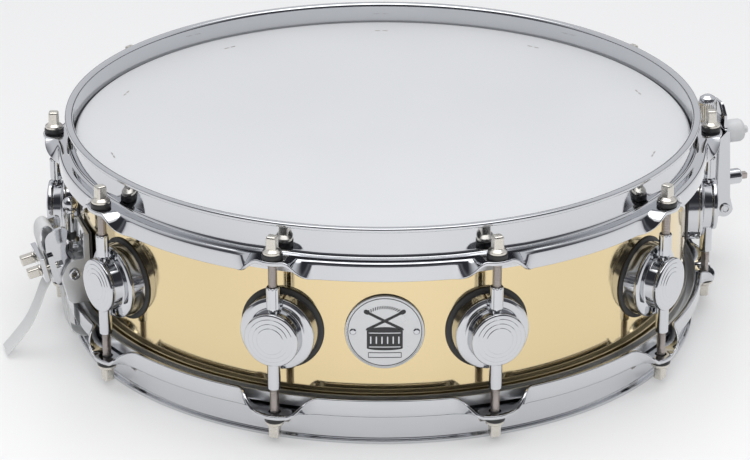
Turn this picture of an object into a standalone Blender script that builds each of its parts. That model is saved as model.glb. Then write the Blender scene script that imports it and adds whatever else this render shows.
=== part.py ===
"""A 14 x 4 inch brass snare drum, modelled piece by piece.

The drum stands on its snare-side hoop: the floor is Z = 0 and the origin is at the
middle of the footprint. The front, with the badge, faces -Y. Heights in the helper
frame are measured from the drum's mid-height, so the two sides mirror each other.
Angles are measured from the front, positive towards +X.
"""

import math

import bmesh
import bpy
from mathutils import Matrix, Vector

MM = 0.001

# Driving dimensions ---------------------------------------------------------
SHELL_RADIUS = 177.8 * MM
SHELL_WALL = 1.2 * MM
SHELL_HALF_DEPTH = 50.8 * MM
HALF_HEIGHT = 63.3 * MM
GAP = 0.3 * MM
LUG_COUNT = 10
LUG_PITCH = 360.0 / LUG_COUNT
FIRST_LUG_ANGLE = 18.0
BOLT_RADIUS = 191.5 * MM
THROWOFF_ANGLE = 108.0
BUTT_ANGLE = -72.0

# Round pieces ---------------------------------------------------------------
RING_STEPS = 60
LUG_STEPS = 12
ROD_STEPS = 8
SMALL_STEPS = 12
BORE_STEPS = 8

# Heads ----------------------------------------------------------------------
HEAD_TOP = 51.5 * MM
FILM = 0.4 * MM
COLLAR_RADIUS = SHELL_RADIUS + 0.35 * MM
COLLAR_WALL = 0.5 * MM
COLLAR_BOTTOM = 38.0 * MM
FLESH_INNER = 178.95 * MM
FLESH_OUTER = 185.0 * MM
FLESH_TOP = 42.4 * MM
FLESH_BOTTOM = 36.2 * MM
BED_DEPTH = 2.2 * MM
BED_HALF_ANGLE = 24.0

# Hoops ----------------------------------------------------------------------
EAR_HALF_ANGLE = 2.1
SKIRT_ANGLE = 7.2
HOOP_STATIONS = (-12.6, -7.2, -4.4, -2.1, 0.0, 2.1, 4.4, 7.2, 12.6, 18.0)
EAR_ROUNDING = 1.6 * MM
ROD_HOLE_RADIUS = 3.5 * MM
GATE_WIDTH = 40.0 * MM
GATE_TOP = -49.0 * MM
GATE_BOTTOM = -60.2 * MM

# Lugs and rods --------------------------------------------------------------
LUG_BACK = SHELL_RADIUS + GAP
LUG_FACE = 197.3 * MM
TUBE_RADIUS = 3.6 * MM
TUBE_END = 29.8 * MM
TUBE_BORE = 3.1 * MM
TUBE_BORE_DEPTH = 13.8 * MM
EAR_TOP = 46.3 * MM
ROD_RADIUS = 2.7 * MM
ROD_END = 17.4 * MM
ROD_HEAD = 6.0 * MM
ROD_HEAD_TOP = 59.0 * MM

# Snares ---------------------------------------------------------------------
WIRE_COUNT = 20
WIRE_PITCH = 2.3 * MM
WIRE_RADIUS = 1.1 * MM
WIRE_HEIGHT = -52.95 * MM
WIRE_END = 156.0 * MM
END_PLATE = (12.0 * MM, 47.0 * MM, 1.2 * MM)
STRAP_WIDTH = 14.0 * MM
STRAP_THICKNESS = 0.8 * MM
STRAP_HEIGHT = -54.9 * MM

# Throw-off, as (distance from the drum's axis, height) ------------------------
LEVER_PIVOT = (215.8 * MM, -26.2 * MM)
LEVER_HALF_WIDTH = 13.0 * MM
LEVER_CHEEK = 1.7 * MM
TAB_HALF_WIDTH = 9.0 * MM
BODY_HALF_WIDTH = 11.0 * MM
BODY_CHEEK = 1.7 * MM
CARRIAGE_HALF_WIDTH = 9.0 * MM
CLAMP_HEIGHT = -11.4 * MM
CLAMP_PLATE = (191.8 * MM, 195.0 * MM)
KNOB_PLACE = 207.0 * MM
LEVER_KNOB_HEIGHT = 19.0 * MM

# Butt plate -----------------------------------------------------------------
BUTT_PIVOT = (189.0 * MM, -12.6 * MM)
BUTT_HALF_WIDTH = 13.4 * MM
BUTT_EAR = 3.0 * MM
ARM_HALF_WIDTH = 10.0 * MM
ARM_CHEEK = 2.3 * MM
ARM_FACE = ((200.5 * MM, -17.0 * MM), (204.4 * MM, 1.0 * MM))
SELECTOR_PLACE = 187.0 * MM
PIN_HOLE_RADIUS = 2.9 * MM
PIN_RADIUS = 2.4 * MM
SCREW_RADIUS = 1.6 * MM
SCREW_HOLE_RADIUS = 2.1 * MM


def empty_scene():
    for old in list(bpy.data.objects):
        bpy.data.objects.remove(old, do_unlink=True)


def new_collection(name):
    made = bpy.data.collections.new(name)
    bpy.context.scene.collection.children.link(made)
    return made


def finish(name, colour, roughness, metallic):
    """A Principled material with one colour, roughness and metallic value."""
    made = bpy.data.materials.new(name)
    made.use_nodes = True
    shader = made.node_tree.nodes["Principled BSDF"]
    shader.inputs["Base Color"].default_value = (*colour, 1.0)
    shader.inputs["Roughness"].default_value = roughness
    shader.inputs["Metallic"].default_value = metallic
    return made


empty_scene()
PARTS = new_collection("snare_drum")
CUTTERS = new_collection("cutters")

BRASS = ("brass", (0.83, 0.66, 0.33), 0.12, 1.0)
CHROME = ("chrome", (0.80, 0.81, 0.83), 0.08, 1.0)
STEEL = ("steel", (0.62, 0.60, 0.57), 0.30, 1.0)
FILM_WHITE = ("coated_film", (0.90, 0.90, 0.89), 0.60, 0.0)
CLEAR_FILM = ("clear_film", (0.86, 0.87, 0.88), 0.20, 0.0)
ALUMINIUM = ("aluminium", (0.74, 0.75, 0.76), 0.40, 1.0)
RUBBER = ("rubber", (0.03, 0.03, 0.03), 0.60, 0.0)
STRAP_PLASTIC = ("strap_plastic", (0.82, 0.82, 0.80), 0.35, 0.0)
GREY_PLASTIC = ("grey_plastic", (0.68, 0.69, 0.70), 0.35, 0.0)
BADGE_METAL = ("badge_metal", (0.78, 0.78, 0.78), 0.30, 1.0)


def own_material(name, look):
    kind, colour, roughness, metallic = look
    return finish(name + "_" + kind, colour, roughness, metallic)


# Making and placing meshes ----------------------------------------------------
def mesh_of(shape, name):
    """Turns a bmesh with closed walls into a mesh whose faces point out."""
    bmesh.ops.recalc_face_normals(shape, faces=shape.faces[:])
    made = bpy.data.meshes.new(name)
    shape.to_mesh(made)
    shape.free()
    return made


def smooth_round(mesh):
    mesh.shade_smooth()
    mesh.set_sharp_from_angle(angle=math.radians(35))
    return mesh


def scratch(name, mesh):
    """A helper object that only serves to make another shape."""
    made = bpy.data.objects.new(name, mesh)
    CUTTERS.objects.link(made)
    made.hide_render = True
    made.display_type = "WIRE"
    return made


def baked(helper, name):
    """The helper's evaluated mesh in its own placing; the helper is removed."""
    bpy.context.view_layer.update()
    depsgraph = bpy.context.evaluated_depsgraph_get()
    mesh = bpy.data.meshes.new_from_object(helper.evaluated_get(depsgraph))
    mesh.transform(helper.matrix_world)
    mesh.name = name
    bpy.data.objects.remove(helper, do_unlink=True)
    return mesh


def joined(name, base, changes):
    """Applies (operation, mesh) pairs to a base mesh and gives the new mesh."""
    helper = scratch(name + "_base", base)
    tools = []
    for index, (operation, mesh) in enumerate(changes):
        tool = scratch(name + "_tool_" + str(index), mesh)
        step = helper.modifiers.new(operation.lower(), "BOOLEAN")
        step.operation = operation
        step.solver = "EXACT"
        step.object = tool
        tools.append(tool)
    made = baked(helper, name)
    for tool in tools:
        bpy.data.objects.remove(tool, do_unlink=True)
    made.materials.clear()
    return made


def piece(name, mesh, look, parent, place=(0.0, 0.0, 0.0), turn=(0.0, 0.0, 0.0)):
    """A finished sub-part, with a material of its own."""
    made = bpy.data.objects.new(name, mesh)
    PARTS.objects.link(made)
    made.parent = parent
    made.location = place
    made.rotation_euler = turn
    if not mesh.materials:
        mesh.materials.append(None)
    slot = made.material_slots[0]
    slot.link = "OBJECT"
    slot.material = own_material(name, look)
    return made


def station(name, parent, place=(0.0, 0.0, 0.0), turn=(0.0, 0.0, 0.0)):
    """An empty that pieces are placed by."""
    made = bpy.data.objects.new(name, None)
    PARTS.objects.link(made)
    made.parent = parent
    made.location = place
    made.rotation_euler = turn
    return made


def facing(angle):
    """The turn about Z that points local +X outwards at an angle from the front."""
    return (0.0, 0.0, math.radians(angle - 90.0))


def around(angle, radius):
    """The point at an angle from the front and a distance from the drum's axis."""
    turn = math.radians(angle)
    return Vector((radius * math.sin(turn), -radius * math.cos(turn), 0.0))


# Shapes ---------------------------------------------------------------------
def turned(name, profile, steps, closed=False):
    """A shape turned about Z from (radius, height) points, outer side downwards."""
    mesh = bpy.data.meshes.new(name + "_profile")
    points = [(radius, 0.0, height) for radius, height in profile]
    edges = [(i, i + 1) for i in range(len(points) - 1)]
    if closed:
        edges.append((len(points) - 1, 0))
    mesh.from_pydata(points, edges, [])
    helper = scratch(name + "_turned", mesh)
    screw = helper.modifiers.new("turn", "SCREW")
    screw.steps = steps
    screw.render_steps = steps
    screw.use_merge_vertices = True
    screw.merge_threshold = 0.00001
    return baked(helper, name)


def box(name, low, high):
    """A box between two corners."""
    shape = bmesh.new()
    size = [b - a for a, b in zip(low, high)]
    middle = [(a + b) / 2 for a, b in zip(low, high)]
    matrix = Matrix.Translation(middle) @ Matrix.Diagonal((*size, 1.0))
    bmesh.ops.create_cube(shape, size=1.0, matrix=matrix)
    return mesh_of(shape, name)


def rods(name, places, radius, steps):
    """Closed cylinders, each from a (start, end) pair of points."""
    shape = bmesh.new()
    for start, end in places:
        along = Vector(end) - Vector(start)
        turn = along.to_track_quat("Z", "Y").to_matrix().to_4x4()
        matrix = Matrix.Translation((Vector(start) + Vector(end)) / 2) @ turn
        bmesh.ops.create_cone(
            shape,
            cap_ends=True,
            segments=steps,
            radius1=radius,
            radius2=radius,
            depth=along.length,
            matrix=matrix,
        )
    return mesh_of(shape, name)


def slab(name, outline, low, high):
    """An outline of (distance, height) points, thick from one side to the other.

    The thickness runs along local Y, from low to high.
    """
    curve = bpy.data.curves.new(name + "_outline", "CURVE")
    curve.dimensions = "2D"
    curve.fill_mode = "BOTH"
    curve.extrude = (high - low) / 2
    spline = curve.splines.new("POLY")
    spline.points.add(len(outline) - 1)
    for point, (across, height) in zip(spline.points, outline):
        point.co = (across, height, 0.0, 1.0)
    spline.use_cyclic_u = True
    helper = bpy.data.objects.new(name + "_curve", curve)
    CUTTERS.objects.link(helper)
    helper.rotation_euler = (math.pi / 2, 0.0, 0.0)
    helper.location = (0.0, (low + high) / 2, 0.0)
    mesh = baked(helper, name)
    shape = bmesh.new()
    shape.from_mesh(mesh)
    bmesh.ops.remove_doubles(shape, verts=shape.verts[:], dist=0.000001)
    return mesh_of(shape, name)


def rounded(corners, steps=3):
    """An outline from (distance, height, corner radius) points, with arcs at corners."""
    outline = []
    count = len(corners)
    for index, (across, height, radius) in enumerate(corners):
        here = Vector((across, height))
        if radius == 0:
            outline.append(tuple(here))
            continue
        before = Vector(corners[index - 1][:2]) - here
        after = Vector(corners[(index + 1) % count][:2]) - here
        half = before.angle(after) / 2
        reach = min(radius / math.tan(half), before.length * 0.49, after.length * 0.49)
        start = here + before.normalized() * reach
        end = here + after.normalized() * reach
        for step in range(steps + 1):
            t = step / steps
            point = start.lerp(here, t).lerp(here.lerp(end, t), t)
            outline.append(tuple(point))
    return outline


def arc(centre, radius, start, end, steps):
    """Points on an arc, with angles in degrees."""
    made = []
    for step in range(steps + 1):
        turn = math.radians(start + (end - start) * step / steps)
        made.append((centre[0] + radius * math.cos(turn), centre[1] + radius * math.sin(turn)))
    return made


def smooth_route(points, between):
    """A smooth line through (distance, height) points, by Catmull-Rom pieces."""
    vectors = [Vector(point) for point in points]
    vectors = [2 * vectors[0] - vectors[1]] + vectors + [2 * vectors[-1] - vectors[-2]]
    made = []
    for i in range(1, len(vectors) - 2):
        a, b, c, d = vectors[i - 1 : i + 3]
        for step in range(between):
            t = step / between
            made.append(
                0.5
                * (
                    2 * b
                    + (c - a) * t
                    + (2 * a - 5 * b + 4 * c - d) * t * t
                    + (3 * b - a - 3 * c + d) * t * t * t
                )
            )
    made.append(vectors[-2])
    return made


def band_outline(route, thickness):
    """The outline of a band of even thickness along a route."""
    left = []
    right = []
    for index, point in enumerate(route):
        before = route[max(index - 1, 0)]
        after = route[min(index + 1, len(route) - 1)]
        along = (after - before).normalized()
        side = Vector((-along.y, along.x)) * thickness / 2
        left.append(tuple(point + side))
        right.append(tuple(point - side))
    return left + right[::-1]


def ring_loft(name, sections):
    """A closed ring from a list of (angle, section) pairs; a section is a closed
    list of (distance, height) points, and the sections vary round the ring."""
    shape = bmesh.new()
    loops = []
    for angle, section in sections:
        turn = math.radians(angle)
        loops.append(
            [
                shape.verts.new((across * math.sin(turn), -across * math.cos(turn), height))
                for across, height in section
            ]
        )
    for index, loop in enumerate(loops):
        following = loops[(index + 1) % len(loops)]
        count = len(loop)
        for k in range(count):
            m = (k + 1) % count
            shape.faces.new((loop[k], loop[m], following[m], following[k]))
    return mesh_of(shape, name)


def upside_down():
    """The turn that puts a batter-side piece on the snare side."""
    return (math.pi, 0.0, 0.0)


# Shell, badge and vent --------------------------------------------------------
def edge_section(drop):
    """The shell's upper bearing edge, listed from outside to inside; drop lowers it."""
    inner = SHELL_RADIUS - SHELL_WALL
    top = SHELL_HALF_DEPTH - drop
    return [
        (SHELL_RADIUS, top - 1.2 * MM),
        (SHELL_RADIUS - 0.9 * MM, top),
        (SHELL_RADIUS - 1.9 * MM, top - 0.2 * MM),
        (SHELL_RADIUS - 6.4 * MM, top - 4.6 * MM),
        (SHELL_RADIUS - 5.6 * MM, top - 5.4 * MM),
        (inner, top - 1.5 * MM),
    ]


def bed_drop(angle):
    """How far the snare bed cuts into the snare-side edge at an angle."""
    deepest = 0.0
    for bed in (THROWOFF_ANGLE, BUTT_ANGLE):
        away = abs((angle - bed + 180.0) % 360.0 - 180.0)
        if away < BED_HALF_ANGLE:
            wave = 0.5 + 0.5 * math.cos(math.pi * away / BED_HALF_ANGLE)
            deepest = max(deepest, BED_DEPTH * wave)
    return deepest


def make_shell(centre):
    sections = []
    for step in range(RING_STEPS):
        angle = 360.0 * step / RING_STEPS
        top = edge_section(0.0)
        bottom = [(across, -height) for across, height in edge_section(bed_drop(angle))]
        sections.append((angle, top + bottom[::-1]))
    wall = ring_loft("shell_wall", sections)
    hole_start = around(180.0, SHELL_RADIUS - 8.0 * MM)
    hole_end = around(180.0, SHELL_RADIUS + 5.0 * MM)
    hole = rods("vent_hole", [(hole_start, hole_end)], 5.2 * MM, SMALL_STEPS)
    mesh = joined("shell", wall, [("DIFFERENCE", hole)])
    piece("shell", smooth_round(mesh), BRASS, centre)


def make_badge(centre):
    back = 0.0
    front = 1.5 * MM
    rim = 21.5 * MM
    profile = [(0.0, front), (20.6 * MM, front), (rim, 0.8 * MM), (rim, back), (0.0, back)]
    mesh = smooth_round(turned("badge", profile, 24))
    place = around(0.0, SHELL_RADIUS + GAP) + Vector((0.0, 0.0, 1.5 * MM))
    piece("badge", mesh, BADGE_METAL, centre, place, (math.pi / 2, 0.0, 0.0))


def make_vent_grommet(centre):
    """A flanged eyelet through the shell at the back."""
    profile = [
        (7.6 * MM, 1.0 * MM),
        (7.6 * MM, 0.0),
        (4.6 * MM, 0.0),
        (4.6 * MM, -2.4 * MM),
        (3.4 * MM, -2.4 * MM),
        (3.4 * MM, 1.0 * MM),
    ]
    mesh = smooth_round(turned("vent_grommet", profile, SMALL_STEPS, closed=True))
    place = around(180.0, SHELL_RADIUS + GAP)
    piece("vent_grommet", mesh, CHROME, centre, place, (-math.pi / 2, 0.0, 0.0))


# Heads ----------------------------------------------------------------------
def make_heads(centre):
    outer = COLLAR_RADIUS + COLLAR_WALL
    film = [
        (0.0, HEAD_TOP),
        (SHELL_RADIUS - 0.6 * MM, HEAD_TOP),
        (outer, HEAD_TOP - 1.3 * MM),
        (outer, COLLAR_BOTTOM),
        (COLLAR_RADIUS, COLLAR_BOTTOM),
        (COLLAR_RADIUS, HEAD_TOP - 1.5 * MM),
        (SHELL_RADIUS - 0.8 * MM, HEAD_TOP - FILM),
        (0.0, HEAD_TOP - FILM),
    ]
    film_mesh = smooth_round(turned("head_film", film, RING_STEPS))
    ring = [
        (FLESH_OUTER, FLESH_TOP),
        (FLESH_OUTER, FLESH_BOTTOM),
        (FLESH_INNER, FLESH_BOTTOM),
        (FLESH_INNER, FLESH_TOP),
    ]
    ring_mesh = smooth_round(turned("flesh_hoop", ring, RING_STEPS, closed=True))
    piece("batter_head_film", film_mesh, FILM_WHITE, centre)
    piece("batter_flesh_hoop", ring_mesh, ALUMINIUM, centre)
    piece("snare_head_film", film_mesh.copy(), CLEAR_FILM, centre, turn=upside_down())
    piece("snare_flesh_hoop", ring_mesh.copy(), ALUMINIUM, centre, turn=upside_down())


# Hoops ----------------------------------------------------------------------
def ear_share(offset):
    """1 where the flange lies flat as an ear, 0 where it hangs as a skirt."""
    away = abs(offset)
    t = (SKIRT_ANGLE - away) / (SKIRT_ANGLE - EAR_HALF_ANGLE)
    t = min(max(t, 0.0), 1.0)
    return t * t * (3.0 - 2.0 * t)


def hoop_section(offset):
    """The flanged section at an angle from the nearest lug, as millimetre points."""
    share = ear_share(offset)
    tip = 198.0 - EAR_ROUNDING / MM * min(abs(offset) / EAR_HALF_ANGLE, 1.0) ** 2
    skirt = [(185.4, 43.0), (186.2, 34.8), (188.5, 34.8), (188.5, 43.4), (186.6, 45.5)]
    ear = [(187.0, 43.3), (tip, 44.0), (tip, 46.3), (193.0, 46.3), (187.4, 46.2)]
    flange = [
        (a[0] + (b[0] - a[0]) * share, a[1] + (b[1] - a[1]) * share) for a, b in zip(skirt, ear)
    ]
    rim = [(184.0, 61.7), (183.2, 63.3), (180.4, 63.3), (179.2, 61.9), (179.2, 44.6), (180.6, 43.0)]
    wall = [(181.5, 47.2), (181.5, 60.4)]
    return [(across * MM, height * MM) for across, height in rim + flange + wall]


def hoop_mesh(name):
    sections = []
    holes = []
    for lug in range(LUG_COUNT):
        middle = FIRST_LUG_ANGLE + LUG_PITCH * lug
        place = around(middle, BOLT_RADIUS)
        rise = Vector((0.0, 0.0, 40.0 * MM))
        holes.append((place + rise, place + rise * 1.3))
        for offset in HOOP_STATIONS:
            sections.append((middle + offset, hoop_section(offset)))
    ring = ring_loft(name + "_ring", sections)
    drills = rods(name + "_drills", holes, ROD_HOLE_RADIUS, BORE_STEPS)
    return joined(name, ring, [("DIFFERENCE", drills)])


def make_hoops(centre):
    batter = hoop_mesh("batter_hoop")
    snare = batter.copy()
    snare.transform(Matrix.Rotation(math.pi, 4, "X"))
    gates = []
    for angle in (THROWOFF_ANGLE, BUTT_ANGLE):
        half = GATE_WIDTH / 2
        gate = box("gate", (176.0 * MM, -half, GATE_BOTTOM), (184.8 * MM, half, GATE_TOP))
        gate.transform(Matrix.Rotation(facing(angle)[2], 4, "Z"))
        gates.append(("DIFFERENCE", gate))
    snare = joined("snare_hoop", snare, gates)
    piece("batter_hoop", smooth_round(batter), CHROME, centre)
    piece("snare_hoop", smooth_round(snare), CHROME, centre)


# Lugs and tension rods ----------------------------------------------------------
def lug_mesh():
    """A turret with its two swivel tubes; local +X points out of the shell."""
    profile = [
        (0.0, LUG_FACE),
        (15.2 * MM, LUG_FACE),
        (15.2 * MM, 194.6 * MM),
        (13.4 * MM, 194.6 * MM),
        (13.4 * MM, 187.0 * MM),
        (20.8 * MM, 187.0 * MM),
        (20.8 * MM, 184.4 * MM),
        (19.6 * MM, 184.4 * MM),
        (21.3 * MM, LUG_BACK),
        (0.0, LUG_BACK),
    ]
    turret = turned("lug_turret", profile, LUG_STEPS)
    turret.transform(Matrix.Rotation(math.pi / 2, 4, "Y"))
    ends = [(BOLT_RADIUS, 0.0, -TUBE_END), (BOLT_RADIUS, 0.0, TUBE_END)]
    tube = rods("lug_tube", [tuple(ends)], TUBE_RADIUS, BORE_STEPS + 2)
    bores = []
    for side in (-1.0, 1.0):
        mouth = (BOLT_RADIUS, 0.0, side * (TUBE_END + 1.0 * MM))
        floor = (BOLT_RADIUS, 0.0, side * (TUBE_END - TUBE_BORE_DEPTH))
        bores.append((mouth, floor))
    bore = rods("lug_bores", bores, TUBE_BORE, BORE_STEPS)
    return joined("lug", turret, [("UNION", tube), ("DIFFERENCE", bore)])


def rod_mesh():
    """A tension rod with its square head and washer, about its own axis."""
    profile = [
        (0.0, EAR_TOP + 4.5 * MM),
        (5.2 * MM, EAR_TOP + 4.5 * MM),
        (5.2 * MM, EAR_TOP + 2.7 * MM),
        (5.65 * MM, EAR_TOP + 2.7 * MM),
        (5.65 * MM, EAR_TOP + GAP),
        (ROD_RADIUS, EAR_TOP + GAP),
        (ROD_RADIUS, ROD_END),
        (0.0, ROD_END),
    ]
    shank = turned("rod_shank", profile, ROD_STEPS)
    half = ROD_HEAD / 2
    head = box("rod_head", (-half, -half, EAR_TOP + 3.5 * MM), (half, half, ROD_HEAD_TOP))
    return joined("tension_rod", shank, [("UNION", head)])


def make_lugs_and_rods(centre):
    lug = smooth_round(lug_mesh())
    rod = smooth_round(rod_mesh())
    for number in range(1, LUG_COUNT + 1):
        angle = FIRST_LUG_ANGLE + LUG_PITCH * (number - 1)
        tag = "{:02d}".format(number)
        place = around(angle, BOLT_RADIUS)
        turn = facing(angle)
        piece("lug_" + tag, lug, CHROME, centre, turn=turn)
        piece("batter_rod_" + tag, rod, STEEL, centre, place, turn)
        piece("snare_rod_" + tag, rod, STEEL, centre, place, (math.pi, 0.0, turn[2]))


# Snares ---------------------------------------------------------------------
def make_snare_wires(throwoff):
    """The strands and their two end plates, along the throw-off's own X axis."""
    strands = []
    for index in range(WIRE_COUNT):
        side = (index - (WIRE_COUNT - 1) / 2) * WIRE_PITCH
        strands.append(((-WIRE_END, side, WIRE_HEIGHT), (WIRE_END, side, WIRE_HEIGHT)))
    wires = rods("strands", strands, WIRE_RADIUS, 6)
    plates = []
    for end in (-1.0, 1.0):
        middle = end * (WIRE_END - 1.0 * MM)
        low = (middle - END_PLATE[0] / 2, -END_PLATE[1] / 2, WIRE_HEIGHT - END_PLATE[2] / 2)
        high = (middle + END_PLATE[0] / 2, END_PLATE[1] / 2, WIRE_HEIGHT + END_PLATE[2] / 2)
        plates.append(("UNION", box("end_plate", low, high)))
    piece("snare_wires", joined("snare_wires", wires, plates), STEEL, throwoff)


def make_throwoff_strap(throwoff):
    """From the end plate, out through the hoop's gate and up to the clamp."""
    route = [
        (152.0 * MM, STRAP_HEIGHT),
        (178.0 * MM, STRAP_HEIGHT),
        (185.0 * MM, STRAP_HEIGHT + 0.3 * MM),
        (189.6 * MM, STRAP_HEIGHT + 3.0 * MM),
        (191.0 * MM, STRAP_HEIGHT + 8.0 * MM),
        (191.0 * MM, -26.0 * MM),
        (191.0 * MM, -4.5 * MM),
    ]
    outline = band_outline(smooth_route(route, 3), STRAP_THICKNESS)
    half = STRAP_WIDTH / 2
    piece("throwoff_strap", slab("throwoff_strap", outline, -half, half), STRAP_PLASTIC, throwoff)


def make_butt_strap(butt):
    """Out through the gate, up behind the arm, over it, down through the clamp and
    on as a loose tail."""
    route = [
        (152.0 * MM, STRAP_HEIGHT),
        (178.0 * MM, STRAP_HEIGHT),
        (185.0 * MM, STRAP_HEIGHT + 0.3 * MM),
        (189.8 * MM, STRAP_HEIGHT + 3.2 * MM),
        (191.6 * MM, STRAP_HEIGHT + 9.0 * MM),
        (193.2 * MM, -32.0 * MM),
        (195.2 * MM, -18.0 * MM),
        (197.2 * MM, -3.0 * MM),
        (197.9 * MM, 7.0 * MM),
        (198.8 * MM, 13.4 * MM),
        (202.3 * MM, 16.6 * MM),
        (206.0 * MM, 14.2 * MM),
        (207.0 * MM, 8.0 * MM),
        (205.6 * MM, 0.8 * MM),
        (203.3 * MM, -8.2 * MM),
        (201.5 * MM, -17.0 * MM),
        (204.6 * MM, -23.4 * MM),
        (208.4 * MM, -32.7 * MM),
        (213.2 * MM, -42.6 * MM),
        (219.9 * MM, -51.4 * MM),
        (228.3 * MM, -60.4 * MM),
    ]
    outline = band_outline(smooth_route(route, 2), STRAP_THICKNESS)
    half = STRAP_WIDTH / 2
    piece("butt_strap", slab("butt_strap", outline, -half, half), STRAP_PLASTIC, butt)


# Throw-off ------------------------------------------------------------------
def radial_turned(name, profile, place, steps):
    """A shape turned about local X; the profile's heights are distances outwards."""
    mesh = turned(name, profile, steps)
    mesh.transform(Matrix.Rotation(math.pi / 2, 4, "Y"))
    mesh.transform(Matrix.Translation((0.0, place[0], place[1])))
    return mesh


def cross_pin(name, half_length, radius, head_radius):
    """A riveted pin along local Y."""
    head = 1.1 * MM
    shoulder = half_length - head
    profile = [
        (0.0, half_length),
        (head_radius, half_length),
        (head_radius, shoulder),
        (radius, shoulder),
        (radius, -shoulder),
        (head_radius, -shoulder),
        (head_radius, -half_length),
        (0.0, -half_length),
    ]
    mesh = turned(name, profile, SMALL_STEPS)
    mesh.transform(Matrix.Rotation(math.pi / 2, 4, "X"))
    return smooth_round(mesh)


def pin_hole(name, pivot):
    reach = 30.0 * MM
    ends = ((pivot[0], -reach, pivot[1]), (pivot[0], reach, pivot[1]))
    return rods(name, [ends], PIN_HOLE_RADIUS, SMALL_STEPS)


def make_throwoff_fixed(throwoff):
    gasket = box(
        "throwoff_gasket",
        (SHELL_RADIUS + GAP, -BODY_HALF_WIDTH - 1.0 * MM, -31.0 * MM),
        (SHELL_RADIUS + 1.5 * MM, BODY_HALF_WIDTH + 1.0 * MM, 18.8 * MM),
    )
    piece("throwoff_gasket", gasket, RUBBER, throwoff)

    back = SHELL_RADIUS + 1.8 * MM
    ear = [(*point, 0.0) for point in arc(LEVER_PIVOT, 4.6 * MM, 60.0, -90.0, 6)]
    outline = rounded(
        [
            (back, -30.0 * MM, 0.0),
            (back, 17.8 * MM, 0.0),
            (211.0 * MM, 17.8 * MM, 1.5 * MM),
            (211.0 * MM, -18.0 * MM, 6.0 * MM),
            *ear,
            (209.0 * MM, -33.5 * MM, 4.0 * MM),
            (195.0 * MM, -33.5 * MM, 4.0 * MM),
            (190.8 * MM, -30.0 * MM, 0.0),
        ]
    )
    block = slab("throwoff_block", outline, -BODY_HALF_WIDTH, BODY_HALF_WIDTH)
    inner = BODY_HALF_WIDTH - BODY_CHEEK
    channel = box("channel", (184.4 * MM, -inner, -60.0 * MM), (240.0 * MM, inner, 60.0 * MM))
    changes = [("DIFFERENCE", channel), ("DIFFERENCE", pin_hole("body_pin_hole", LEVER_PIVOT))]
    piece("throwoff_body", joined("throwoff_body", block, changes), CHROME, throwoff)

    pin = cross_pin("throwoff_pin", 14.4 * MM, PIN_RADIUS, 3.4 * MM)
    place = (LEVER_PIVOT[0], 0.0, LEVER_PIVOT[1])
    piece("throwoff_pin", pin, CHROME, throwoff, place)


def lever_outline():
    lobe = arc(LEVER_PIVOT, 5.4 * MM, 200.0, 350.0, 10)
    handle = rounded(
        [
            (218.9 * MM, -19.0 * MM, 3.0 * MM),
            (218.0 * MM, 0.0, 12.0 * MM),
            (216.9 * MM, 20.0 * MM, 12.0 * MM),
            (216.2 * MM, 33.0 * MM, 6.0 * MM),
            (215.0 * MM, 40.5 * MM, 0.6 * MM),
            (213.4 * MM, 40.2 * MM, 0.6 * MM),
            (214.5 * MM, 32.0 * MM, 6.0 * MM),
            (214.5 * MM, 23.6 * MM, 0.0),
            (210.2 * MM, 20.0 * MM, 2.0 * MM),
            (210.2 * MM, -22.0 * MM, 2.0 * MM),
        ]
    )
    return lobe + handle


def make_throwoff_lever(throwoff):
    """A channel-shaped lever that pivots at its foot, with a window for the screw."""
    lever = slab("lever_block", lever_outline(), -LEVER_HALF_WIDTH, LEVER_HALF_WIDTH)
    inner = LEVER_HALF_WIDTH - LEVER_CHEEK
    web_foot = -20.5 * MM
    hollow = [
        (200.0 * MM, -50.0 * MM),
        (240.0 * MM, -50.0 * MM),
        (240.0 * MM, web_foot),
        (216.8 * MM, web_foot),
        (214.8 * MM, 18.0 * MM),
        (214.8 * MM, 26.0 * MM),
        (200.0 * MM, 26.0 * MM),
    ]
    changes = [("DIFFERENCE", slab("lever_hollow", hollow, -inner, inner))]
    window = box("window", (212.0 * MM, -6.3 * MM, -18.5 * MM), (226.0 * MM, 6.3 * MM, 1.5 * MM))
    changes.append(("DIFFERENCE", window))
    for side in (-1.0, 1.0):
        edges = sorted((side * TAB_HALF_WIDTH, side * 20.0 * MM))
        low = (205.0 * MM, edges[0], 25.0 * MM)
        high = (225.0 * MM, edges[1], 50.0 * MM)
        changes.append(("DIFFERENCE", box("tab_side", low, high)))
    changes.append(("DIFFERENCE", pin_hole("lever_pin_hole", LEVER_PIVOT)))
    mesh = joined("throwoff_lever", lever, changes)
    pivot = (LEVER_PIVOT[0], 0.0, LEVER_PIVOT[1])
    mesh.transform(Matrix.Translation(-Vector(pivot)))
    lever_piece = piece("throwoff_lever", mesh, CHROME, throwoff, pivot)

    back = 217.6 * MM
    profile = [
        (0.0, 234.0 * MM),
        (2.4 * MM, 234.0 * MM),
        (2.4 * MM, 230.6 * MM),
        (5.8 * MM, 230.6 * MM),
        (7.0 * MM, 229.2 * MM),
        (7.0 * MM, back),
        (0.0, back),
    ]
    knob = radial_turned("lever_knob", profile, (0.0, LEVER_KNOB_HEIGHT), 16)
    knob.transform(Matrix.Translation(-Vector(pivot)))
    piece("throwoff_lever_knob", smooth_round(knob), GREY_PLASTIC, lever_piece)


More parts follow.
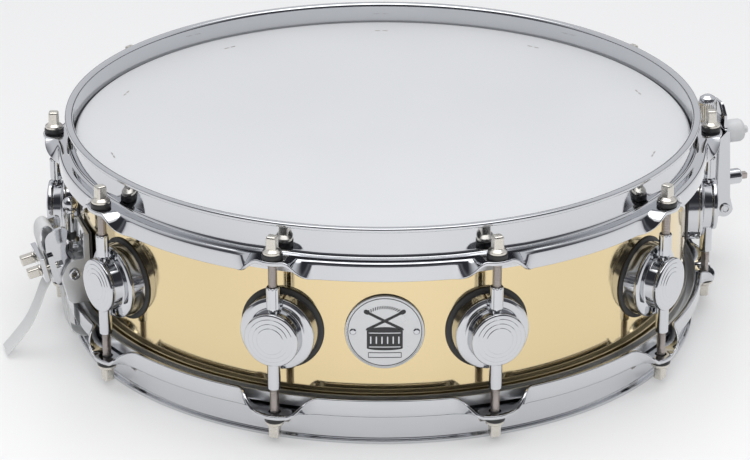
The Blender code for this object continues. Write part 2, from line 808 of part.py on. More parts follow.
def make_carriage(throwoff):
    """The slide that carries the strap clamp, and the knob that sets its height.

    The strap rises between the slide's back wall and the clamp plate. A bridge in front
    of the plate takes the screw that presses it against the strap.
    """
    inner = 184.8 * MM
    outline = [
        (inner, -24.0 * MM),
        (190.2 * MM, -24.0 * MM),
        (190.2 * MM, 18.6 * MM),
        (212.2 * MM, 18.6 * MM),
        (212.2 * MM, 21.6 * MM),
        (inner, 21.6 * MM),
    ]
    half = CARRIAGE_HALF_WIDTH
    block = slab("carriage_block", outline, -half, half)
    outside = half - GAP
    low = (189.0 * MM, -outside, -18.0 * MM)
    bridge = box("bridge", low, (208.0 * MM, outside, -5.0 * MM))
    inside = half - 1.5 * MM
    slot = box("strap_slot", (190.4 * MM, -inside, -30.0 * MM), (204.6 * MM, inside, 0.0))
    screw_line = ((200.0 * MM, 0.0, CLAMP_HEIGHT), (220.0 * MM, 0.0, CLAMP_HEIGHT))
    screw_hole = rods("screw_hole", [screw_line], SCREW_HOLE_RADIUS, BORE_STEPS)
    knob_line = ((KNOB_PLACE, 0.0, 15.0 * MM), (KNOB_PLACE, 0.0, 25.0 * MM))
    knob_hole = rods("knob_hole", [knob_line], 3.0 * MM, BORE_STEPS + 2)
    changes = [
        ("UNION", bridge),
        ("DIFFERENCE", slot),
        ("DIFFERENCE", screw_hole),
        ("DIFFERENCE", knob_hole),
    ]
    piece("throwoff_carriage", joined("throwoff_carriage", block, changes), CHROME, throwoff)

    plate_half = 7.2 * MM
    low = (CLAMP_PLATE[0], -plate_half, -17.5 * MM)
    high = (CLAMP_PLATE[1], plate_half, -5.5 * MM)
    piece("throwoff_clamp_plate", box("throwoff_clamp_plate", low, high), CHROME, throwoff)

    profile = [
        (0.0, 232.0 * MM),
        (2.0 * MM, 232.0 * MM),
        (2.0 * MM, 230.8 * MM),
        (4.4 * MM, 230.8 * MM),
        (4.8 * MM, 230.2 * MM),
        (4.8 * MM, 221.0 * MM),
        (4.2 * MM, 220.2 * MM),
        (SCREW_RADIUS, 220.2 * MM),
        (SCREW_RADIUS, CLAMP_PLATE[1] + GAP),
        (0.0, CLAMP_PLATE[1] + GAP),
    ]
    shank = radial_turned("clamp_shank", profile, (0.0, CLAMP_HEIGHT), SMALL_STEPS)
    reach = 1.9 * MM
    low = (231.0 * MM, -reach, CLAMP_HEIGHT - reach)
    high = (235.4 * MM, reach, CLAMP_HEIGHT + reach)
    screw = joined("throwoff_clamp_screw", shank, [("UNION", box("screw_square", low, high))])
    piece("throwoff_clamp_screw", screw, STEEL, throwoff)

    knob_profile = [
        (0.0, 44.4 * MM),
        (3.0 * MM, 44.0 * MM),
        (4.9 * MM, 42.5 * MM),
        (5.6 * MM, 40.0 * MM),
        (5.6 * MM, 27.4 * MM),
        (5.3 * MM, 26.6 * MM),
        (5.3 * MM, 21.6 * MM + GAP),
        (2.5 * MM, 21.6 * MM + GAP),
        (2.5 * MM, 2.0 * MM),
        (0.0, 2.0 * MM),
    ]
    knob = smooth_round(turned("tension_knob", knob_profile, 16))
    piece("tension_knob", knob, CHROME, throwoff, (KNOB_PLACE, 0.0, 0.0))


# Butt plate -----------------------------------------------------------------
def face_point(share, outwards):
    """A point on the arm's clamp face, raised outwards from it."""
    start = Vector(ARM_FACE[0])
    end = Vector(ARM_FACE[1])
    along = (end - start).normalized()
    normal = Vector((along.y, -along.x))
    return start.lerp(end, share) + normal * outwards


def face_slab(name, low_share, high_share, low_out, high_out, half_width):
    """A plate parallel to the arm's clamp face."""
    outline = [
        tuple(face_point(low_share, low_out)),
        tuple(face_point(low_share, high_out)),
        tuple(face_point(high_share, high_out)),
        tuple(face_point(high_share, low_out)),
    ]
    return slab(name, outline, -half_width, half_width)


def face_rods(name, side_offset, low_out, high_out, radius, steps):
    """Cylinders square to the clamp face, one on each side of the strap."""
    places = []
    for side in side_offset:
        start = face_point(0.5, low_out)
        end = face_point(0.5, high_out)
        places.append(((start.x, side, start.y), (end.x, side, end.y)))
    return rods(name, places, radius, steps)


def make_butt_fixed(butt):
    gasket = box(
        "butt_gasket",
        (SHELL_RADIUS + GAP, -BUTT_HALF_WIDTH - 1.0 * MM, -32.8 * MM),
        (SHELL_RADIUS + 1.5 * MM, BUTT_HALF_WIDTH + 1.0 * MM, 12.0 * MM),
    )
    piece("butt_gasket", gasket, RUBBER, butt)

    back = SHELL_RADIUS + 1.8 * MM
    outline = rounded(
        [
            (back, -31.0 * MM, 0.0),
            (back, 11.0 * MM, 0.0),
            (183.2 * MM, 11.0 * MM, 1.0 * MM),
            (183.2 * MM, -4.0 * MM, 1.0 * MM),
            (192.0 * MM, -4.4 * MM, 5.0 * MM),
            (196.6 * MM, -14.0 * MM, 5.0 * MM),
            (192.6 * MM, -31.0 * MM, 4.0 * MM),
        ]
    )
    block = slab("butt_block", outline, -BUTT_HALF_WIDTH, BUTT_HALF_WIDTH)
    inner = BUTT_HALF_WIDTH - BUTT_EAR
    channel = box("channel", (181.6 * MM, -inner, -60.0 * MM), (240.0 * MM, inner, 60.0 * MM))
    changes = [("DIFFERENCE", channel), ("DIFFERENCE", pin_hole("base_pin_hole", BUTT_PIVOT))]
    piece("butt_base", joined("butt_base", block, changes), CHROME, butt)

    pin = cross_pin("butt_pin", 15.0 * MM, PIN_RADIUS, 3.4 * MM)
    piece("butt_pin", pin, CHROME, butt, (BUTT_PIVOT[0], 0.0, BUTT_PIVOT[1]))


def make_butt_arm(butt):
    """The arched arm that the strap passes over, with its clamp on the outside."""
    lobe = arc(BUTT_PIVOT, 5.0 * MM, 120.0, 280.0, 8)
    arch = rounded(
        [
            (197.0 * MM, -20.6 * MM, 3.0 * MM),
            (*face_point(0.0, -0.3 * MM), 1.0 * MM),
            (*face_point(1.0, -0.3 * MM), 3.0 * MM),
            (204.6 * MM, 12.6 * MM, 6.0 * MM),
            (190.8 * MM, 16.2 * MM, 3.0 * MM),
            (193.4 * MM, -2.0 * MM, 8.0 * MM),
        ]
    )
    cheeks = slab("arm_cheeks", lobe + arch, -ARM_HALF_WIDTH, ARM_HALF_WIDTH)
    inner = ARM_HALF_WIDTH - ARM_CHEEK
    passage = [
        (170.0 * MM, -45.0 * MM),
        (197.2 * MM, -45.0 * MM),
        (197.6 * MM, -18.0 * MM),
        (199.6 * MM, -6.0 * MM),
        (200.2 * MM, 3.0 * MM),
        (200.2 * MM, 25.0 * MM),
        (170.0 * MM, 25.0 * MM),
    ]
    block = face_slab("clamp_pad", 0.1, 0.9, -3.6 * MM, 0.0, 13.0 * MM)
    screw_sides = (-9.5 * MM, 9.5 * MM)
    drills = face_rods("arm_drills", screw_sides, -7.0 * MM, 4.0 * MM, SCREW_HOLE_RADIUS, BORE_STEPS)
    changes = [
        ("UNION", block),
        ("DIFFERENCE", slab("strap_passage", passage, -inner, inner)),
        ("DIFFERENCE", drills),
        ("DIFFERENCE", pin_hole("arm_pin_hole", BUTT_PIVOT)),
    ]
    pivot = Vector((BUTT_PIVOT[0], 0.0, BUTT_PIVOT[1]))
    mesh = joined("butt_arm", cheeks, changes)
    mesh.transform(Matrix.Translation(-pivot))
    arm = piece("butt_arm", mesh, CHROME, butt, pivot)

    plate_back = 1.7 * MM
    plate_front = 4.7 * MM
    plate = face_slab("butt_plate", 0.1, 0.9, plate_back, plate_front, 13.0 * MM)
    holes = face_rods("plate_drills", screw_sides, 0.0, 7.0 * MM, SCREW_HOLE_RADIUS, BORE_STEPS)
    mesh = joined("butt_clamp_plate", plate, [("DIFFERENCE", holes)])
    mesh.transform(Matrix.Translation(-pivot))
    piece("butt_clamp_plate", mesh, CHROME, arm)

    for number, side in enumerate(screw_sides, start=1):
        name = "butt_clamp_screw_" + str(number)
        seat = plate_front + GAP
        shank = face_rods(name + "_shank", [side], -5.0 * MM, seat + 1.0 * MM, SCREW_RADIUS, BORE_STEPS)
        flange = face_rods(name + "_flange", [side], seat, seat + 2.2 * MM, 3.4 * MM, BORE_STEPS + 2)
        low = face_point(0.5, seat + 1.0 * MM)
        square = box(name + "_head", (0.0, -2.1 * MM, -2.1 * MM), (7.0 * MM, 2.1 * MM, 2.1 * MM))
        normal = face_point(0.5, 1.0) - face_point(0.5, 0.0)
        square.transform(Matrix.Rotation(math.atan2(-normal.y, normal.x), 4, "Y"))
        square.transform(Matrix.Translation((low.x, side, low.y)))
        mesh = joined(name, shank, [("UNION", flange), ("UNION", square)])
        mesh.transform(Matrix.Translation(-pivot))
        piece(name, mesh, STEEL, arm)


def make_selector(butt):
    """The three-position lever: a hub, a stem and a ball, which turns about local X."""
    hub = rods("hub", [((-5.0 * MM, 0.0, 0.0), (2.2 * MM, 0.0, 0.0))], 5.0 * MM, SMALL_STEPS)
    stem = rods("stem", [((0.0, 0.0, 2.0 * MM), (0.0, 0.0, 23.0 * MM))], 1.9 * MM, BORE_STEPS)
    shape = bmesh.new()
    bmesh.ops.create_uvsphere(
        shape,
        u_segments=12,
        v_segments=8,
        radius=4.3 * MM,
        matrix=Matrix.Translation((0.0, 0.0, 25.0 * MM)),
    )
    ball = mesh_of(shape, "ball")
    mesh = joined("butt_selector", hub, [("UNION", stem), ("UNION", ball)])
    piece("butt_selector", smooth_round(mesh), CHROME, butt, (SELECTOR_PLACE, 0.0, 0.0))


# The drum -------------------------------------------------------------------
def make_drum():
    centre = station("drum_centre", None, (0.0, 0.0, HALF_HEIGHT))
    throwoff = station("throwoff_place", centre, turn=facing(THROWOFF_ANGLE))
    butt = station("butt_place", centre, turn=facing(BUTT_ANGLE))
    make_shell(centre)
    make_badge(centre)
    make_vent_grommet(centre)
    make_heads(centre)
    make_hoops(centre)
    make_lugs_and_rods(centre)
    make_snare_wires(throwoff)
    make_throwoff_strap(throwoff)
    make_butt_strap(butt)
    make_throwoff_fixed(throwoff)
    make_throwoff_lever(throwoff)
    make_carriage(throwoff)
    make_butt_fixed(butt)
    make_butt_arm(butt)
    make_selector(butt)


make_drum()
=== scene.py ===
"""The look of a 14 x 4 inch brass snare drum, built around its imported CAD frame.

Shapes are given in millimetres in one of three local frames. The drum frame has its
origin on the drum's axis at mid-height. The throw-off and butt frames are the drum frame
turned about Z, so that local X points out of the shell there and local Y runs along it.
Angles round the drum are measured from the front (-Y), positive towards +X.
"""

import math

import bmesh
import bpy
from mathutils import Matrix, Vector


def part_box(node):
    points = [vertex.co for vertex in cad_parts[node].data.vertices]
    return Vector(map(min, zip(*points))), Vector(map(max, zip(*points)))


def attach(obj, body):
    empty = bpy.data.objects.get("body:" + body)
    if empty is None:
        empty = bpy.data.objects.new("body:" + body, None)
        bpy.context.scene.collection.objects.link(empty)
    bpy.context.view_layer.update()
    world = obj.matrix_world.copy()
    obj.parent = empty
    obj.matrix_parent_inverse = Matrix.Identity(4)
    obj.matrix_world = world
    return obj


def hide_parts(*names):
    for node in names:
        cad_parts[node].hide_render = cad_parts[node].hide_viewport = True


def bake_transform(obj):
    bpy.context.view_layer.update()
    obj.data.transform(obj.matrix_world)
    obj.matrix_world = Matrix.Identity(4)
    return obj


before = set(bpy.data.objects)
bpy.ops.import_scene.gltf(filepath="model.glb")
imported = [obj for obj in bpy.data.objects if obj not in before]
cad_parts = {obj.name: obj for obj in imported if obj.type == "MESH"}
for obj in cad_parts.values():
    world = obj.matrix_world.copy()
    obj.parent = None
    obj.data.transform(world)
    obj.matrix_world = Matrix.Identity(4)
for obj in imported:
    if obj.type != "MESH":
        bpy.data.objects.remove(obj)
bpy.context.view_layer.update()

MM = 0.001
HALF_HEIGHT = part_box("batter_hoop")[1].z / 2
DRUM = Matrix.Translation((0, 0, HALF_HEIGHT))

# ---- Driving dimensions, in millimetres
SHELL_RADIUS = 177.8
SHELL_WALL = 1.2
SHELL_HALF_DEPTH = 50.8
HEAD_TOP = 51.5
BOLT_RADIUS = 191.5
LUG_COUNT = 10
LUG_PITCH = 360 / LUG_COUNT
FIRST_LUG_ANGLE = 18
THROWOFF_ANGLE = 108
BUTT_ANGLE = -72
LUG_FACE = 197.3
TUBE_RADIUS = 3.6
TUBE_END = 29.8
EAR_TOP = 46.3
STRAP_HALF_SIZE = Vector((7, 0.38))
STRAP_HEIGHT = -54.9
WIRE_HEIGHT = -52.95

LEVER_PIVOT = (215.8, -26.2)
LEVER_HALF_WIDTH = 13
LEVER_CHEEK = 1.7
BODY_HALF_WIDTH = 11
BODY_CHEEK = 1.7
CARRIAGE_HALF_WIDTH = 9
CLAMP_HEIGHT = -11.4
KNOB_PLACE = 207
LEVER_KNOB_HEIGHT = 19
MAGNET_HEIGHT = 20.1

BUTT_PIVOT = (189, -12.6)
BUTT_HALF_WIDTH = 13.4
BUTT_EAR = 3
ARM_HALF_WIDTH = 10
ARM_CHEEK = 2.3
ARM_FACE = (Vector((200.5, -17)), Vector((204.4, 1)))
SELECTOR_PLACE = 187


def rotation(degrees, axis):
    return Matrix.Rotation(math.radians(degrees), 4, axis)


def facing(angle):
    """The drum frame turned so that local X points out at an angle from the front."""
    return DRUM @ rotation(angle - 90, "Z")


THROWOFF = facing(THROWOFF_ANGLE)
BUTT = facing(BUTT_ANGLE)


def moved(place, across, height=0):
    """A local frame moved along its own X and Z."""
    return place @ Matrix.Translation(Vector((across, 0, height)) * MM)


# ---- Meshes
def closed_mesh(shape, name):
    """Turns a bmesh into a mesh, with doubles merged and faces pointing out."""
    bmesh.ops.remove_doubles(shape, verts=shape.verts[:], dist=1e-7)
    bmesh.ops.recalc_face_normals(shape, faces=shape.faces[:])
    made = bpy.data.meshes.new(name)
    shape.to_mesh(made)
    shape.free()
    return made


def grid(name, rows, wrap_rows=False, wrap_columns=True, caps=False):
    """A skin over rows of millimetre points."""
    shape = bmesh.new()
    made = [[shape.verts.new(Vector(point) * MM) for point in row] for row in rows]
    count = len(made[0])
    for index in range(len(made) - (0 if wrap_rows else 1)):
        here = made[index]
        following = made[(index + 1) % len(made)]
        for k in range(count if wrap_columns else count - 1):
            m = (k + 1) % count
            shape.faces.new((here[k], here[m], following[m], following[k]))
    if caps:
        shape.faces.new(made[0][::-1])
        shape.faces.new(made[-1])
    return closed_mesh(shape, name)


def filleted(corners, closed=True, steps=4):
    """Rounds an outline of (across, height) corners that may have a radius as well."""
    made = []
    count = len(corners)
    for index, (across, height, *radius) in enumerate(corners):
        here = Vector((across, height))
        if not radius or (not closed and index in (0, count - 1)):
            made.append(tuple(here))
            continue
        before = Vector(corners[index - 1][:2]) - here
        after = Vector(corners[(index + 1) % count][:2]) - here
        half = before.angle(after) / 2
        reach = min(radius[0] / math.tan(half), before.length * 0.48, after.length * 0.48)
        reach = max(reach, 0.05)
        start = here + before.normalized() * reach
        end = here + after.normalized() * reach
        for step in range(steps + 1):
            t = step / steps
            made.append(tuple(start.lerp(here, t).lerp(here.lerp(end, t), t)))
    return made


def turned(name, profile, steps, closed=False, relief=None):
    """A shape turned about Z; relief changes (turn, radius, height) to a new pair."""
    rows = []
    for step in range(steps):
        turn = 2 * math.pi * step / steps
        row = []
        for radius, height in profile:
            if relief:
                radius, height = relief(turn, radius, height)
            row.append((radius * math.cos(turn), radius * math.sin(turn), height))
        rows.append(row)
    return grid(name, rows, wrap_rows=True, wrap_columns=closed)


def lathe(name, corners, steps, closed=False, rounding=4):
    """A shape turned about Z from the corners of its outline."""
    return turned(name, filleted(corners, closed, rounding), steps, closed)


def shifted(mesh, x=0, y=0, z=0):
    mesh.transform(Matrix.Translation(Vector((x, y, z)) * MM))
    return mesh


def outwards(mesh, side=0, height=0):
    """Turns a mesh made about Z so that its axis is local X, at a side and height."""
    mesh.transform(rotation(90, "Y"))
    return shifted(mesh, 0, side, height)


def saddled(mesh, near=190, far=191):
    """Bends a local-X piece onto the shell, fading out from near to far."""
    for vertex in mesh.vertices:
        side = vertex.co.y / MM
        sagitta = SHELL_RADIUS - math.sqrt(SHELL_RADIUS**2 - side**2)
        share = min(max((far - vertex.co.x / MM) / (far - near), 0), 1)
        vertex.co.x -= sagitta * share * MM
    return mesh


def swept(name, path, sides, section):
    """A section of (side, up) offsets carried along a path."""
    rows = []
    for index, point in enumerate(path):
        before = path[max(index - 1, 0)]
        after = path[min(index + 1, len(path) - 1)]
        along = (after - before).normalized()
        up = along.cross(sides[index]).normalized()
        side = up.cross(along)
        rows.append([point + side * a + up * b for a, b in section])
    return grid(name, rows, caps=True)


def helix(radius, pitch, start, end, steps):
    """Points on a helix about Z and their outward directions."""
    count = int((end - start) / pitch * steps)
    path = []
    sides = []
    for index in range(count + 1):
        turn = 2 * math.pi * index / steps
        out = Vector((math.cos(turn), math.sin(turn), 0))
        path.append(out * radius + Vector((0, 0, start + pitch * index / steps)))
        sides.append(out)
    return path, sides


def merged(name, meshes):
    """Several meshes as one."""
    shape = bmesh.new()
    for mesh in meshes:
        shape.from_mesh(mesh)
    made = bpy.data.meshes.new(name)
    shape.to_mesh(made)
    shape.free()
    return made


def threaded(name, core, radius, pitch, start, end, ridge):
    """A core with a helical ridge, given as the offsets of its base and crest and a half-width."""
    path, sides = helix(radius, pitch, start, end, 14)
    base, crest, half = ridge
    thread = swept(name, path, sides, [(base, -half), (crest, 0), (base, half)])
    return smooth(merged(name, [core, thread]), 50)


def rectangle(low, high, radius):
    """The corners of an outline, all with one radius."""
    return [(*low, radius), (high[0], low[1], radius), (*high, radius), (low[0], high[1], radius)]


def slab(name, outline, low, high):
    """An outline of (distance, height) points, thick along local Y."""
    return grid(name, [[(x, y, z) for x, z in outline] for y in (low, high)], caps=True)


def punch(name, outline, start, end):
    """An outline of (side, height) points, thick along local X."""
    return grid(name, [[(x, *point) for point in outline] for x in (start, end)], caps=True)


def box(name, low, high):
    outline = [(low[0], low[2]), (high[0], low[2]), (high[0], high[2]), (low[0], high[2])]
    return slab(name, outline, low[1], high[1])


def rods(name, places, radius, steps):
    """Closed cylinders, each from a (start, end) pair of points."""
    shape = bmesh.new()
    for start, end in places:
        along = Vector(end) - Vector(start)
        turn = along.to_track_quat("Z", "Y").to_matrix().to_4x4()
        middle = Matrix.Translation((Vector(start) + Vector(end)) * MM / 2)
        bmesh.ops.create_cone(
            shape,
            cap_ends=True,
            segments=steps,
            radius1=radius * MM,
            radius2=radius * MM,
            depth=along.length * MM,
            matrix=middle @ turn,
        )
    return closed_mesh(shape, name)


def arc(centre, radius, start, end, steps):
    """Outline points on an arc, with angles in degrees."""
    made = []
    for step in range(steps + 1):
        turn = math.radians(start + (end - start) * step / steps)
        across = centre[0] + radius * math.cos(turn)
        made.append((across, centre[1] + radius * math.sin(turn)))
    return made


def smooth_route(points, between):
    """A smooth line through (distance, height) points, by Catmull-Rom pieces."""
    vectors = [Vector(point) for point in points]
    vectors = [2 * vectors[0] - vectors[1]] + vectors + [2 * vectors[-1] - vectors[-2]]
    made = []
    for i in range(1, len(vectors) - 2):
        a, b, c, d = vectors[i - 1 : i + 3]
        for step in range(between):
            t = step / between
            line = 2 * b + (c - a) * t
            line += (2 * a - 5 * b + 4 * c - d) * t * t
            line += (3 * b - a - 3 * c + d) * t * t * t
            made.append(line / 2)
    made.append(vectors[-2])
    return made


def helper_object(name, mesh):
    made = bpy.data.objects.new(name, mesh)
    bpy.context.scene.collection.objects.link(made)
    return made


def baked(helper, name):
    """The helper's evaluated mesh; the helper is removed."""
    bpy.context.view_layer.update()
    depsgraph = bpy.context.evaluated_depsgraph_get()
    mesh = bpy.data.meshes.new_from_object(helper.evaluated_get(depsgraph))
    mesh.name = name
    mesh.materials.clear()
    bpy.data.objects.remove(helper, do_unlink=True)
    return mesh


def carved(name, base, cuts, added=()):
    """A base mesh with the added meshes joined to it, and then the cuts taken away."""
    helper = helper_object(name + "_base", base)
    tools = []
    changes = [("UNION", mesh) for mesh in added] + [("DIFFERENCE", mesh) for mesh in cuts]
    for index, (operation, mesh) in enumerate(changes):
        tool = helper_object(name + "_tool_" + str(index), mesh)
        step = helper.modifiers.new("step", "BOOLEAN")
        step.operation = operation
        step.solver = "EXACT"
        step.object = tool
        tools.append(tool)
    made = baked(helper, name)
    for tool in tools:
        bpy.data.objects.remove(tool, do_unlink=True)
    return made


def bevelled(mesh, width, segments=2, angle=32):
    """Rounds the sharp edges of a mesh."""
    helper = helper_object(mesh.name + "_bevel", mesh)
    weld = helper.modifiers.new("weld", "WELD")
    weld.merge_threshold = 2e-6
    bevel = helper.modifiers.new("bevel", "BEVEL")
    bevel.width = width * MM
    bevel.segments = segments
    bevel.limit_method = "ANGLE"
    bevel.angle_limit = math.radians(angle)
    bevel.use_clamp_overlap = True
    return baked(helper, mesh.name)


def smooth(mesh, angle=40):
    mesh.shade_smooth()
    mesh.set_sharp_from_angle(angle=math.radians(angle))
    return mesh


def milled(name, block, width, segments=2, cuts=(), added=()):
    """A block that is carved where needed, with its edges rounded."""
    if cuts or added:
        block = carved(name, block, cuts, added)
    return smooth(bevelled(block, width, segments))


def piece(name, mesh, material, body, place, node=None, flat_faces=True):
    """A finished piece that rides on a body and may stand for a CAD node."""
    made = helper_object(name, mesh)
    if mesh.materials:
        mesh.materials[0] = material
    else:
        mesh.materials.append(material)
    made.matrix_world = place
    if flat_faces:
        weighted = made.modifiers.new("even_shading", "WEIGHTED_NORMAL")
        weighted.keep_sharp = True
    if body:
        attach(made, body)
    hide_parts(*([node] if node else []))
    return made


# ---- Materials
def map_range(tree, source, taken, given, kind="LINEAR"):
    """A node that maps the taken range of values to the given one."""
    node = tree.nodes.new("ShaderNodeMapRange")
    node.interpolation_type = kind
    for socket, value in zip(("From Min", "From Max", "To Min", "To Max"), (*taken, *given)):
        node.inputs[socket].default_value = value
    tree.links.new(source, node.inputs["Value"])
    return node.outputs["Result"]


def mix_colours(tree, share, first, second):
    """A node that mixes two colours, each a tuple or the output of another node."""
    node = tree.nodes.new("ShaderNodeMix")
    node.data_type = "RGBA"
    tree.links.new(share, node.inputs["Factor"])
    for index, value in ((6, first), (7, second)):
        if isinstance(value, tuple):
            node.inputs[index].default_value = value
        else:
            tree.links.new(value, node.inputs[index])
    return node.outputs[2]


def material(name, shades, roughness, metallic, scales, bump, sockets=()):
    """A Principled material whose colour, roughness and surface all vary.

    shades and roughness are pairs that a coarse noise mixes; scales holds the coarse and
    fine noise scales per metre; bump is the strength and depth in millimetres of the grain.
    """
    made = bpy.data.materials.new(name)
    made.use_nodes = True
    tree = made.node_tree
    nodes = tree.nodes
    links = tree.links
    shader = nodes["Principled BSDF"]
    places = nodes.new("ShaderNodeTexCoord")

    def noise(scale, detail):
        node = nodes.new("ShaderNodeTexNoise")
        node.inputs["Scale"].default_value = scale
        node.inputs["Detail"].default_value = detail
        links.new(places.outputs["Object"], node.inputs["Vector"])
        return node.outputs["Fac"]

    coarse = noise(scales[0], 3)
    fine = noise(scales[1], 2)
    colour = mix_colours(tree, coarse, (*shades[0], 1), (*shades[1], 1))
    links.new(colour, shader.inputs["Base Color"])
    spread = map_range(tree, coarse, (0.3, 0.7), roughness)
    links.new(spread, shader.inputs["Roughness"])
    grain = nodes.new("ShaderNodeBump")
    grain.inputs["Strength"].default_value = bump[0]
    grain.inputs["Distance"].default_value = bump[1] * MM
    links.new(fine, grain.inputs["Height"])
    links.new(grain.outputs["Normal"], shader.inputs["Normal"])
    shader.inputs["Metallic"].default_value = metallic
    for socket, value in sockets:
        shader.inputs[socket].default_value = value
    return made


BRASS = material(
    "polished_brass", ((0.79, 0.635, 0.365), (0.83, 0.68, 0.41)), (0.07, 0.12), 1, (6, 700), (0.02, 0.02),
)
CHROME = material(
    "bright_chrome", ((0.61, 0.62, 0.645), (0.67, 0.68, 0.70)), (0.04, 0.075), 1, (9, 900), (0.015, 0.02),
)
SATIN_CHROME = material(
    "satin_chrome", ((0.80, 0.81, 0.82), (0.86, 0.87, 0.88)), (0.28, 0.38), 1, (40, 1400), (0.06, 0.02),
)
NICKEL = material(
    "satin_nickel", ((0.66, 0.63, 0.57), (0.78, 0.75, 0.69)), (0.22, 0.34), 1, (260, 2400), (0.12, 0.03),
)
THREAD = material(
    "threaded_steel", ((0.42, 0.38, 0.36), (0.55, 0.50, 0.47)), (0.28, 0.42), 1, (300, 2600),
    (0.15, 0.03),
)
WIRE = material(
    "plated_wire", ((0.60, 0.60, 0.60), (0.72, 0.72, 0.71)), (0.20, 0.30), 1, (120, 2200), (0.08, 0.02),
)
ALUMINIUM = material(
    "mill_aluminium", ((0.66, 0.67, 0.68), (0.76, 0.77, 0.78)), (0.32, 0.45), 1, (60, 1500), (0.15, 0.04),
)
COATED_FILM = material(
    "coated_film", ((0.60, 0.61, 0.625), (0.63, 0.64, 0.65)), (0.50, 0.62), 0, (14, 1400), (0.35, 0.06),
    (("Specular IOR Level", 0.35),),
)
CLEAR_FILM = material(
    "clear_film", ((0.78, 0.80, 0.82), (0.84, 0.86, 0.88)), (0.12, 0.20), 0, (10, 500), (0.04, 0.03),
    (("Alpha", 0.55),),
)
NYLON = material(
    "black_nylon", ((0.012, 0.012, 0.013), (0.03, 0.03, 0.031)), (0.34, 0.5), 0, (200, 1800), (0.2, 0.04),
)
RUBBER = material(
    "black_rubber", ((0.018, 0.018, 0.018), (0.04, 0.039, 0.038)), (0.45, 0.62), 0, (160, 1500),
    (0.3, 0.05),
)
STRAP = material(
    "frosted_strap", ((0.70, 0.71, 0.71), (0.78, 0.79, 0.79)), (0.30, 0.42), 0, (90, 900), (0.15, 0.05),
    (("Alpha", 0.82), ("Specular IOR Level", 0.4)),
)
GREY_PLASTIC = material(
    "grey_plastic", ((0.55, 0.56, 0.57), (0.62, 0.63, 0.64)), (0.34, 0.48), 0, (150, 1700), (0.2, 0.04),
)
BADGE_METAL = material(
    "badge_metal", ((0.60, 0.61, 0.62), (0.72, 0.73, 0.74)), (0.26, 0.36), 1, (80, 2600), (0.1, 0.02),
)
ENAMEL = material(
    "badge_enamel", ((0.015, 0.015, 0.017), (0.03, 0.03, 0.032)), (0.25, 0.35), 0, (200, 2000),
    (0.05, 0.02),
)


# ---- Shell, vent and badge
SHELL_STEPS = 360
BED_DEPTH = 2.2
BED_HALF_ANGLE = 24


def edge_section(drop):
    """The bearing edge, listed from outside to inside; drop lowers it."""
    inner = SHELL_RADIUS - SHELL_WALL
    top = SHELL_HALF_DEPTH - drop
    corners = [
        (SHELL_RADIUS, top - 14), (SHELL_RADIUS, top - 1, 0.5), (SHELL_RADIUS - 0.9, top, 0.5),
        (SHELL_RADIUS - 2.2, top - 0.4, 0.6), (SHELL_RADIUS - 6.4, top - 4.6, 0.5),
        (SHELL_RADIUS - 5.6, top - 5.4, 0.3), (inner, top - 1.5, 0.4), (inner, top - 14),
    ]
    return filleted(corners, closed=False, steps=3)


def bed_drop(angle):
    """How far the snare bed cuts into the snare-side edge at an angle."""
    deepest = 0
    for bed in (THROWOFF_ANGLE, BUTT_ANGLE):
        away = abs((angle - bed + 180) % 360 - 180)
        if away < BED_HALF_ANGLE:
            wave = 0.5 + 0.5 * math.cos(math.pi * away / BED_HALF_ANGLE)
            deepest = max(deepest, BED_DEPTH * wave)
    return deepest


def ring_rows(stations, section_at):
    """Rows of points for a ring whose section changes with the angle."""
    rows = []
    for angle in stations:
        turn = math.radians(angle)
        out = (math.sin(turn), -math.cos(turn))
        rows.append([(r * out[0], r * out[1], z) for r, z in section_at(angle)])
    return rows


def make_shell():
    top = edge_section(0)

    def section(angle):
        bottom = [(across, -height) for across, height in edge_section(bed_drop(angle))]
        return top + bottom[::-1]

    stations = [360 * step / SHELL_STEPS for step in range(SHELL_STEPS)]
    wall = grid("shell", ring_rows(stations, section), wrap_rows=True)
    hole = rods("vent_hole", [((0, 165, 0), (0, 190, 0))], 5.2, 32)
    mesh = smooth(carved("shell", wall, [hole]))
    piece("brass_shell", mesh, BRASS, "root", DRUM, "shell", False)


def make_vent_grommet():
    profile = [
        (7.6, 0.7, 0.3), (7.6, 0.1), (4.6, 0.1), (4.6, -2, 0.2), (3.4, -2.3, 0.2), (3.4, 1, 0.6),
        (6.4, 1, 0.5),
    ]
    mesh = lathe("vent_eyelet", profile, 48, closed=True)
    shifted(outwards(mesh), 178.1)
    place = facing(180)
    piece("vent_eyelet", smooth(mesh), CHROME, "root", place, "vent_grommet")


BADGE_RADIUS = 21.5
BADGE_FACE = 179.2
BADGE_BACK = 178.15
BADGE_HEIGHT = 1.5


def badge_ribbon(columns, raised=0.14):
    """A thin raised figure on the badge from columns of paired (side, height) points."""
    rows = []
    front = BADGE_FACE + raised
    back = BADGE_FACE - 0.1
    for first, second in columns:
        ring = [(front, first), (front, second), (back, second), (back, first)]
        rows.append([(across, spot[0], spot[1] + BADGE_HEIGHT) for across, spot in ring])
    return grid("badge_ribbon", rows, caps=True)


def badge_bar(centre, length, width, turn_degrees, raised=0.14):
    """A round-ended bar on the badge."""
    turn = math.radians(turn_degrees)
    along = Vector((math.cos(turn), math.sin(turn)))
    side = Vector((-along.y, along.x))
    columns = []
    for step in range(25):
        place = (step / 12 - 1) * 0.999
        reach = place * length / 2
        past = max(abs(reach) - (length - width) / 2, 0) / (width / 2)
        half = side * math.sqrt(max(1 - past * past, 0.0025)) * width / 2
        middle = Vector(centre) + along * reach
        columns.append((middle - half, middle + half))
    return badge_ribbon(columns, raised)


